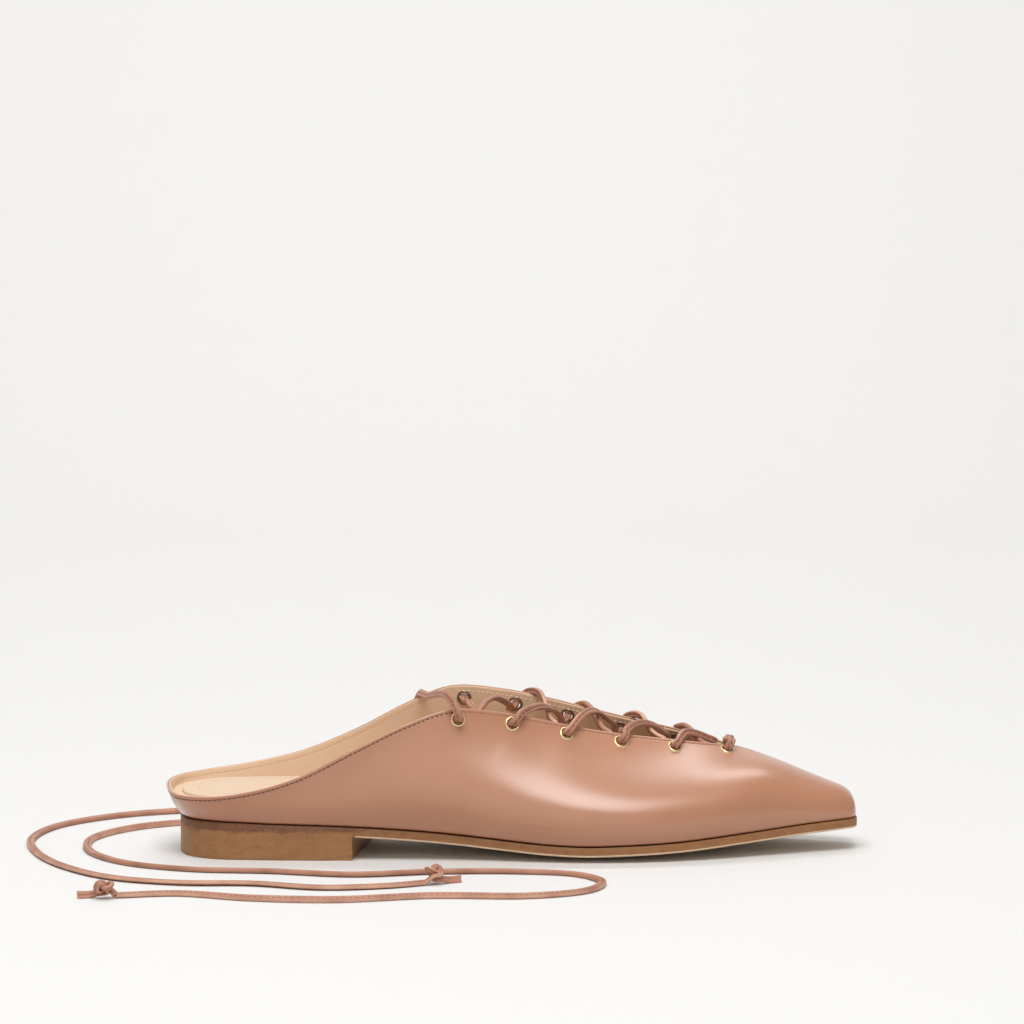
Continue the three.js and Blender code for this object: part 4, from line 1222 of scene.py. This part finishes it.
# The strip's section, as shares of its width and thickness: a round fold on one side, a groove
# for the stitches, and a thinner edge where the two cut ends are glued.
STRIP_FOLD = ((0.5, 0), (0.48, 0.26), (0.38, 0.43), (0.2, 0.5), (0.03, 0.46), (-0.05, 0.36))
STRIP_EDGE = ((-0.13, 0.32), (-0.21, 0.37), (-0.33, 0.4), (-0.45, 0.37), (-0.5, 0.25))
UPPER_HALF = STRIP_FOLD + STRIP_EDGE
STRIP_RING = UPPER_HALF + tuple((a, -o) for a, o in reversed(UPPER_HALF[1:]))
RING_SIDES = len(STRIP_RING)
CUT_EDGE = len(UPPER_HALF) - 1  # the side of the ring between the two cut ends
STITCH_PLACE, STITCH_SEAT = -0.13, 0.34  # where the stitches lie in that groove
LACE_STITCH = (1.3, 0.36, 0.3)
LOOK_STITCH, LOOK_CUT = 1, 2  # the numbers of the strip's second and third material


def strip_mesh(path, tangents, normals, width, thickness, scale=None):
    """Vertices, faces and looks of a strip with closed ends; scale changes it ring by ring."""
    sides = np.cross(tangents, normals)
    vertices = []
    for i in range(len(path)):
        wide, thick = (width, thickness) if scale is None else (width, thickness) * scale[i]
        vertices.extend(
            path[i] + sides[i] * a * wide + normals[i] * o * thick for a, o in STRIP_RING)
    looks = [LOOK_CUT if k == CUT_EDGE else 0 for k in range(RING_SIDES)] * (len(path) - 1)
    return vertices, closed_tube(len(path), RING_SIDES), looks + [LOOK_CUT] * 2


def strip_stitches(path, tangents, normals, sizes):
    """The dashes of the seam along the strip's open edge, on both of its flat faces."""
    width, thickness = sizes.lace_width / MM, sizes.lace_thickness / MM
    places, way = evenly(path, sizes.lace_pitch / MM)
    centre, along, out = (along_line(way, v, places) for v in (path, tangents, normals))
    along = unit(along)
    out = unit(out - along * (out * along).sum(-1, keepdims=True))
    side = np.cross(along, out)
    shape = [], [], []
    for face in (1, -1):
        seat = centre + side * width * STITCH_PLACE + out * face * thickness * STITCH_SEAT
        gather(shape, capsules(seat, along, out * face, LACE_STITCH, LOOK_STITCH))
    return shape


THROUGH = (-3.0, -0.8, 1.2)  # a lace's way through an eyelet, out of the wall's outer face
HANG = (-5.3, -1.4, -1.4)  # beside an eyelet's inside, where a strand comes to it
LEAVE = (2.5, 1.2, 1.0)  # beside an eyelet's outside, where a strand bends up from it
BAR_END = (3.4, 0.9, 0.8)  # the same for the bar
LAST_HANG = (-5.3, -0.6, 1.4)  # beside the tie's own eyelet, inside
PATH_STEP, KNOT_STEP = 0.8, 0.6
KNOT_SAMPLES = 90
KNOT_SHIFT, KNOT_DEPTH = 1.6, 1.15  # of its loops to one side, and of its crossings
KNOT_EASE = 0.8  # the bit at either end, as an angle, where it levels out to its leads
KNOT_LEAD = 0.75  # how far its two leads lie over and under its middle
KNOT_HOLD = 6  # samples over which the knot takes hold of the strip
SQUEEZE = np.array([0.2, 0.15])  # how much narrower and thinner it pulls the strip
FRAY = np.array([0.4, -0.35])  # how much wider and thinner the strip's tip then gets
LYING = 1.7  # a strip whose middle is lower than that lies on the floor
TOUCH = 0.02  # between the floor and a strip that lies on it
TOUCH_EASE = 20  # samples over which a tie comes down to that
ROLLS = 9  # places along a lying tie where its roll is set
ROLL = 9  # its mean roll, and how much that varies, in degrees
ROLL_WAVE = 2.1  # the angle of that wave from one place to the next
ROLL_FROM = 12  # samples after the tie comes down


def half_lace(side):
    """The lace from the middle of the bar, in at this side's last eyelet, up to its tie.

    It gives the points, and the eyelets with the number of the point in each.
    """
    last = EYELETS_A_SIDE
    here, there = SEATS[side, last], SEATS[-side, last]
    middle = (here.middle + there.middle) / 2 + np.array([0, 0, BAR_LIFT])
    points = [middle, here.beside(*BAR_END)]
    holes = []

    def through(seat, inwards):
        steps = THROUGH[::-1] if inwards else THROUGH
        points.extend(seat.beside(out) for out in steps)
        holes.append((seat, len(points) - 2))

    through(here, True)
    now = side
    for row in range(last - 1, 1, -1):
        points.append(SEATS[now, row + 1].beside(*HANG))
        now = -now
        points.extend(np.array(STRANDS[now, row][::-1]))
        points.append(SEATS[now, row].beside(*LEAVE))
        through(SEATS[now, row], True)
    start, end = SEATS[now, 2], SEATS[-now, 1]
    points.append(start.beside(*HANG))
    points.extend(np.array(INSIDE_STRANDS[-now][::-1]))
    points.append(end.beside(*LAST_HANG))
    through(end, False)
    return points, holes, -now


def overhand_knot(scale, tilt):
    """A tight overhand knot as a line, entered and left along x."""
    t = np.linspace(math.pi, 3 * math.pi, KNOT_SAMPLES)
    x = np.sin(t) + 2 * np.sin(2 * t)
    y = np.cos(t) - 2 * np.cos(2 * t) + KNOT_SHIFT
    ease = np.clip(np.minimum(t - math.pi, 3 * math.pi - t) / KNOT_EASE, 0, 1)
    lead = np.where(t < 2 * math.pi, KNOT_LEAD, -KNOT_LEAD)
    z = -np.sin(3 * t) * KNOT_DEPTH * ease + (1 - ease) * lead
    flat = np.stack([x, y, z], -1) * scale
    c, s = math.cos(tilt), math.sin(tilt)
    return flat @ np.array([[1, 0, 0], [0, c, s], [0, -s, c]])


class TieEnd:
    """The knot at a tie's end: a line that leads out of the tie's last point."""

    SCALE = 1.02
    TILT = 0.5
    HALF = 4.5  # from the tie's end to the knot's middle
    HEIGHT = 3.5  # of its middle over the floor
    LEAD = 1.6  # how far before the knot the strip starts to rise
    EVERY = 5  # of the knot's samples, for the rounded path
    TIP = ((2.4, -0.3, 1.6, 0.2), (5.0, -0.9, 1.2, 0.6), (9.5, -1.2, 1.1, 0.4))

    def __init__(self, route):
        end = route[-1]
        ahead = unit((end - route[-2]) * (1, 1, 0))
        across = np.cross((0, 0, 1), ahead)
        middle = end + ahead * self.HALF
        middle[2] = self.HEIGHT
        body = overhand_knot(self.SCALE, self.TILT)
        inner = middle + body[:, :1] * ahead + body[:, 1:2] * across + body[:, 2:] * (0, 0, 1)
        # Each point of the tip is so far ahead, so much lower but no lower than that, and aside.
        tip = []
        for reach, drop, lowest, aside in self.TIP:
            x, y, z = inner[-1] + ahead * reach + (0, 0, drop)
            tip.append((x, y + aside, max(z, lowest)))
        lead = inner[0] - ahead * self.LEAD
        points = np.vstack([end, lead, inner[::self.EVERY], tip])
        self.path = rounded_path(points, KNOT_STEP)
        self.tip_from = nearest(self.path, tip[0])


def strip_object(name, shape, materials):
    """A piece of the lace or of a tie, from its shape."""
    vertices, faces, looks = shape
    return make_object(name, placed(vertices), faces, materials, looks, sharp=70, merge=False)


def make_lacing(sizes, colours):
    """The lace through all twelve eyelets with its starting bar, and the two ties it ends in."""
    width, thickness = sizes.lace_width / MM, sizes.lace_thickness / MM
    materials = [
        lace_finish("Folded calf lacing", colours.lace, colours.lace_deep),
        thread_finish("Lace thread", colours.lace_thread),
        lace_finish("Cut edge of the lacing", colours.lace_edge, colours.lace),
    ]
    laced = [], [], []
    for side in SIDES:
        points, holes, tie_side = half_lace(side)
        route = np.array(TIE_ROUTES[tie_side]) / MM - CENTRE
        path = rounded_path(np.vstack([points, route]), PATH_STEP)
        cut = nearest(path, route[0])
        anchors = [(0, (0, 0, 1))]
        for seat, number in holes:
            anchors.append((nearest(path, points[number]), seat.up))
        ground = [i for i in range(cut, len(path)) if path[i, 2] < LYING]
        rolls = np.radians(ROLL + ROLL * np.sin(np.arange(ROLLS) * ROLL_WAVE))
        spots = np.linspace(ground[0] + ROLL_FROM, ground[-1], ROLLS).astype(int)
        for i, roll in zip(spots, rolls):
            across = np.cross((0, 0, 1), unit(path[i] - path[i - 1]))
            anchors.append((i, np.array([0, 0, math.cos(roll)]) + across * math.sin(roll)))
        tangents, normals = strip_frames(path, anchors)
        lay_down(path, tangents, normals, ground, width, thickness)
        part = slice(0, cut + 1)
        bundle = path[part], tangents[part], normals[part]
        gather(laced, strip_mesh(*bundle, width, thickness))
        gather(laced, strip_stitches(*bundle, sizes))
        part = slice(cut, len(path))
        make_tie(tie_side, (path[part], tangents[part], normals[part]), sizes, materials)
    lace = strip_object("lacing", laced, materials)
    rows = [f"lace_cross_{k}" for k in range(1, EYELETS_A_SIDE)]
    dress(lace, "lace_leather", "lace_bar", *rows)


def lay_down(path, tangents, normals, ground, width, thickness):
    """Lets the strip touch the floor wherever it runs along it, however it is rolled."""
    sides = np.cross(tangents, normals)
    reach = np.array([
        max(abs(s * a * width + n * o * thickness) for a, o in STRIP_RING)
        for s, n in zip(sides[ground, 2], normals[ground, 2])
    ])
    ease = np.clip(np.arange(len(ground)) / TOUCH_EASE, 0, 1)
    path[ground, 2] += (reach + TOUCH - path[ground, 2]) * ease


def make_tie(side, bundle, sizes, materials):
    """A free tie on its route, and the knot with its frayed tip at the end."""
    path, tangents, normals = bundle
    width, thickness = sizes.lace_width / MM, sizes.lace_thickness / MM
    name = SIDE_NAME[side]
    end = TieEnd(path)
    knot_tangents, knot_normals = strip_frames(end.path, [(0, normals[-1])])
    count = np.arange(len(end.path))
    frayed = np.clip((count - end.tip_from) / (len(end.path) - end.tip_from), 0, 1)
    squeezed = np.clip(count / KNOT_HOLD, 0, 1)
    scale = 1 - SQUEEZE * squeezed[:, None] + FRAY * frayed[:, None]
    found, quads, looks = strip_mesh(end.path, knot_tangents, knot_normals, width, thickness, scale)
    found = [(x, y, max(z, TOUCH)) for x, y, z in found]  # the floor presses its underside flat
    knot = strip_object("knot_" + name, (found, quads, looks), materials)
    dress(knot, "lace_leather", "tie_knot_" + name)
    shape = [], [], []
    gather(shape, strip_mesh(path, tangents, normals, width, thickness))
    gather(shape, strip_stitches(path, tangents, normals, sizes))
    tie = strip_object("tie_strip_" + name, shape, materials)
    dress(tie, "lace_leather", "tie_" + name)
    rings = placed(path)


# The camera, as the photo's perspective and the shoe's outline place it
VIEW_ELEVATION = math.radians(10)
VIEW_YAW = math.radians(-1.5)
VIEW_DISTANCE = 1.5
VIEW_LENS = 134.95
VIEW_SENSOR = 36
IMAGE_SIZE = 1024
AIM_ROW = 847  # the picture's row where the floor's point under the shoe's middle lies
AIM_POINT = Vector((0, 0.001, 0))
BACKDROP_FRONT, BACKDROP_BACK, BACKDROP_HEIGHT, BACKDROP_HALF = -1.6, 2.2, 2.4, 3.0
BACKDROP_BEND, BEND_STEPS = 0.9, 16
# The softboxes: name, place, the point they aim at, width and depth, and power in watts.
LIGHTS = (
    ("key_softbox", (-0.12, -0.66, 1.44), (0.02, 0, 0.03), (1.1, 0.8), 18.5),
    ("front_softbox", (-0.3, -1.9, 0.7), (0, 0, 0.03), (2.4, 1.2), 6),
    ("backdrop_softbox", (0, 0.9, 2.3), (0, 2.2, 0.7), (2.4, 0.6), 39),
)
SURROUND = 0.34  # strength of the even light from all round


def make_camera():
    """A long lens at the photo's angle, with the shoe low in the frame."""
    back = Vector((
        math.sin(VIEW_YAW) * math.cos(VIEW_ELEVATION),
        -math.cos(VIEW_YAW) * math.cos(VIEW_ELEVATION),
        math.sin(VIEW_ELEVATION),
    ))
    focal = VIEW_LENS / VIEW_SENSOR * IMAGE_SIZE
    pitch = VIEW_ELEVATION - math.atan((AIM_ROW - IMAGE_SIZE / 2) / focal)
    data = bpy.data.cameras.new("camera")
    data.lens = VIEW_LENS
    data.sensor_width = VIEW_SENSOR
    data.clip_start = 0.1
    data.clip_end = 20
    camera = bpy.data.objects.new("camera", data)
    camera.location = AIM_POINT + back * VIEW_DISTANCE
    camera.rotation_euler = (math.pi / 2 - pitch, 0, VIEW_YAW)
    bpy.context.scene.collection.objects.link(camera)
    bpy.context.scene.camera = camera


def make_light(name, place, target, size, power):
    """A rectangular white softbox aimed at a point."""
    data = bpy.data.lights.new(name, "AREA")
    data.shape = "RECTANGLE"
    data.size, data.size_y = size
    data.energy = power
    light = bpy.data.objects.new(name, data)
    light.location = place
    light.rotation_mode = "QUATERNION"
    light.rotation_quaternion = (Vector(target) - Vector(place)).to_track_quat("-Z", "Y")
    bpy.context.scene.collection.objects.link(light)


def make_stage(colours):
    """Seamless paper, three softboxes, an even surround and the camera."""
    bend = [(BACKDROP_BACK - BACKDROP_BEND + BACKDROP_BEND * math.sin(t),
             BACKDROP_BEND * (1 - math.cos(t))) for t in np.linspace(0, math.pi / 2, BEND_STEPS)]
    profile = [(BACKDROP_FRONT, 0.0), *bend, (BACKDROP_BACK, BACKDROP_HEIGHT)]
    vertices = [(x, y, z) for y, z in profile for x in (-BACKDROP_HALF, BACKDROP_HALF)]
    faces = [(2 * i, 2 * i + 1, 2 * i + 3, 2 * i + 2) for i in range(len(profile) - 1)]
    mesh = bpy.data.meshes.new("paper")
    mesh.from_pydata(vertices, [], faces)
    mesh.materials.append(paper_finish(colours))
    mesh.shade_smooth()
    paper = bpy.data.objects.new("paper", mesh)
    bpy.context.scene.collection.objects.link(paper)
    for light in LIGHTS:
        make_light(*light)
    world = bpy.data.worlds.new("surround")
    world.use_nodes = True
    sky = world.node_tree.nodes["Background"]
    sky.inputs["Color"].default_value = hex_colour("#ffffff")
    sky.inputs["Strength"].default_value = SURROUND
    bpy.context.scene.world = world
    bpy.context.scene.view_settings.view_transform = "Standard"
    make_camera()


class SHOE_OT_stage(bpy.types.Operator):
    """Set up the paper floor, the lights and the camera."""

    bl_idname = "shoe.stage"
    bl_label = "Stage"

    def execute(self, context):
        make_stage(context.scene.shoe_colours)
        return {"FINISHED"}


class SHOE_OT_lacing(bpy.types.Operator):
    """Lace the eyelets and lay the two ties."""

    bl_idname = "shoe.lacing"
    bl_label = "Lacing and ties"

    def execute(self, context):
        make_lacing(context.scene.shoe_sizes, context.scene.shoe_colours)
        return {"FINISHED"}


class SHOE_OT_upper(bpy.types.Operator):
    """Build the calf upper, its lining and the topline seam."""

    bl_idname = "shoe.upper"
    bl_label = "Upper and lining"

    def execute(self, context):
        make_upper(context.scene.shoe_sizes, context.scene.shoe_colours)
        return {"FINISHED"}


class SHOE_OT_sole(bpy.types.Operator):
    """Build the leather sole and the stacked heel."""

    bl_idname = "shoe.sole"
    bl_label = "Sole and heel"

    def execute(self, context):
        make_sole(context.scene.shoe_sizes, context.scene.shoe_colours)
        return {"FINISHED"}


class SHOE_OT_insole(bpy.types.Operator):
    """Build the footbed and the stitches of its heel seat."""

    bl_idname = "shoe.insole"
    bl_label = "Footbed"

    def execute(self, context):
        make_insole(context.scene.shoe_colours)
        return {"FINISHED"}


class SHOE_OT_eyelets(bpy.types.Operator):
    """Set the twelve eyelets."""

    bl_idname = "shoe.eyelets"
    bl_label = "Eyelets"

    def execute(self, context):
        make_eyelets(context.scene.shoe_sizes, context.scene.shoe_colours)
        return {"FINISHED"}


class SHOE_PT_panel(bpy.types.Panel):
    """The shoe's pieces, sizes and colours."""

    bl_idname = "SHOE_PT_panel"
    bl_label = "Lace-up flat"
    bl_space_type = "VIEW_3D"
    bl_region_type = "UI"
    bl_category = "Shoe"

    def draw(self, context):
        layout = self.layout
        for operator in OPERATORS:
            layout.operator(operator.bl_idname)
        for group in (context.scene.shoe_sizes, context.scene.shoe_colours):
            box = layout.box()
            for name in group.__annotations__:
                box.prop(group, name)


OPERATORS = (SHOE_OT_stage, SHOE_OT_lacing, SHOE_OT_upper, SHOE_OT_sole, SHOE_OT_insole, SHOE_OT_eyelets)
CLASSES = (ShoeSizes, ShoeColours, *OPERATORS, SHOE_PT_panel)


def register():
    """Adds the classes, and the sizes and colours to the scene."""
    for item in CLASSES:
        bpy.utils.register_class(item)
    bpy.types.Scene.shoe_sizes = bpy.props.PointerProperty(type=ShoeSizes)
    bpy.types.Scene.shoe_colours = bpy.props.PointerProperty(type=ShoeColours)


def unregister():
    """Takes them away again."""
    del bpy.types.Scene.shoe_colours
    del bpy.types.Scene.shoe_sizes
    for item in reversed(CLASSES):
        bpy.utils.unregister_class(item)


def main():
    """Builds the stage, the lacing, the shoe and the eyelets."""
    register()
    bpy.ops.shoe.stage()
    bpy.ops.shoe.lacing()
    bpy.ops.shoe.upper()
    bpy.ops.shoe.sole()
    bpy.ops.shoe.insole()
    bpy.ops.shoe.eyelets()


if __name__ == "__main__":
    main()
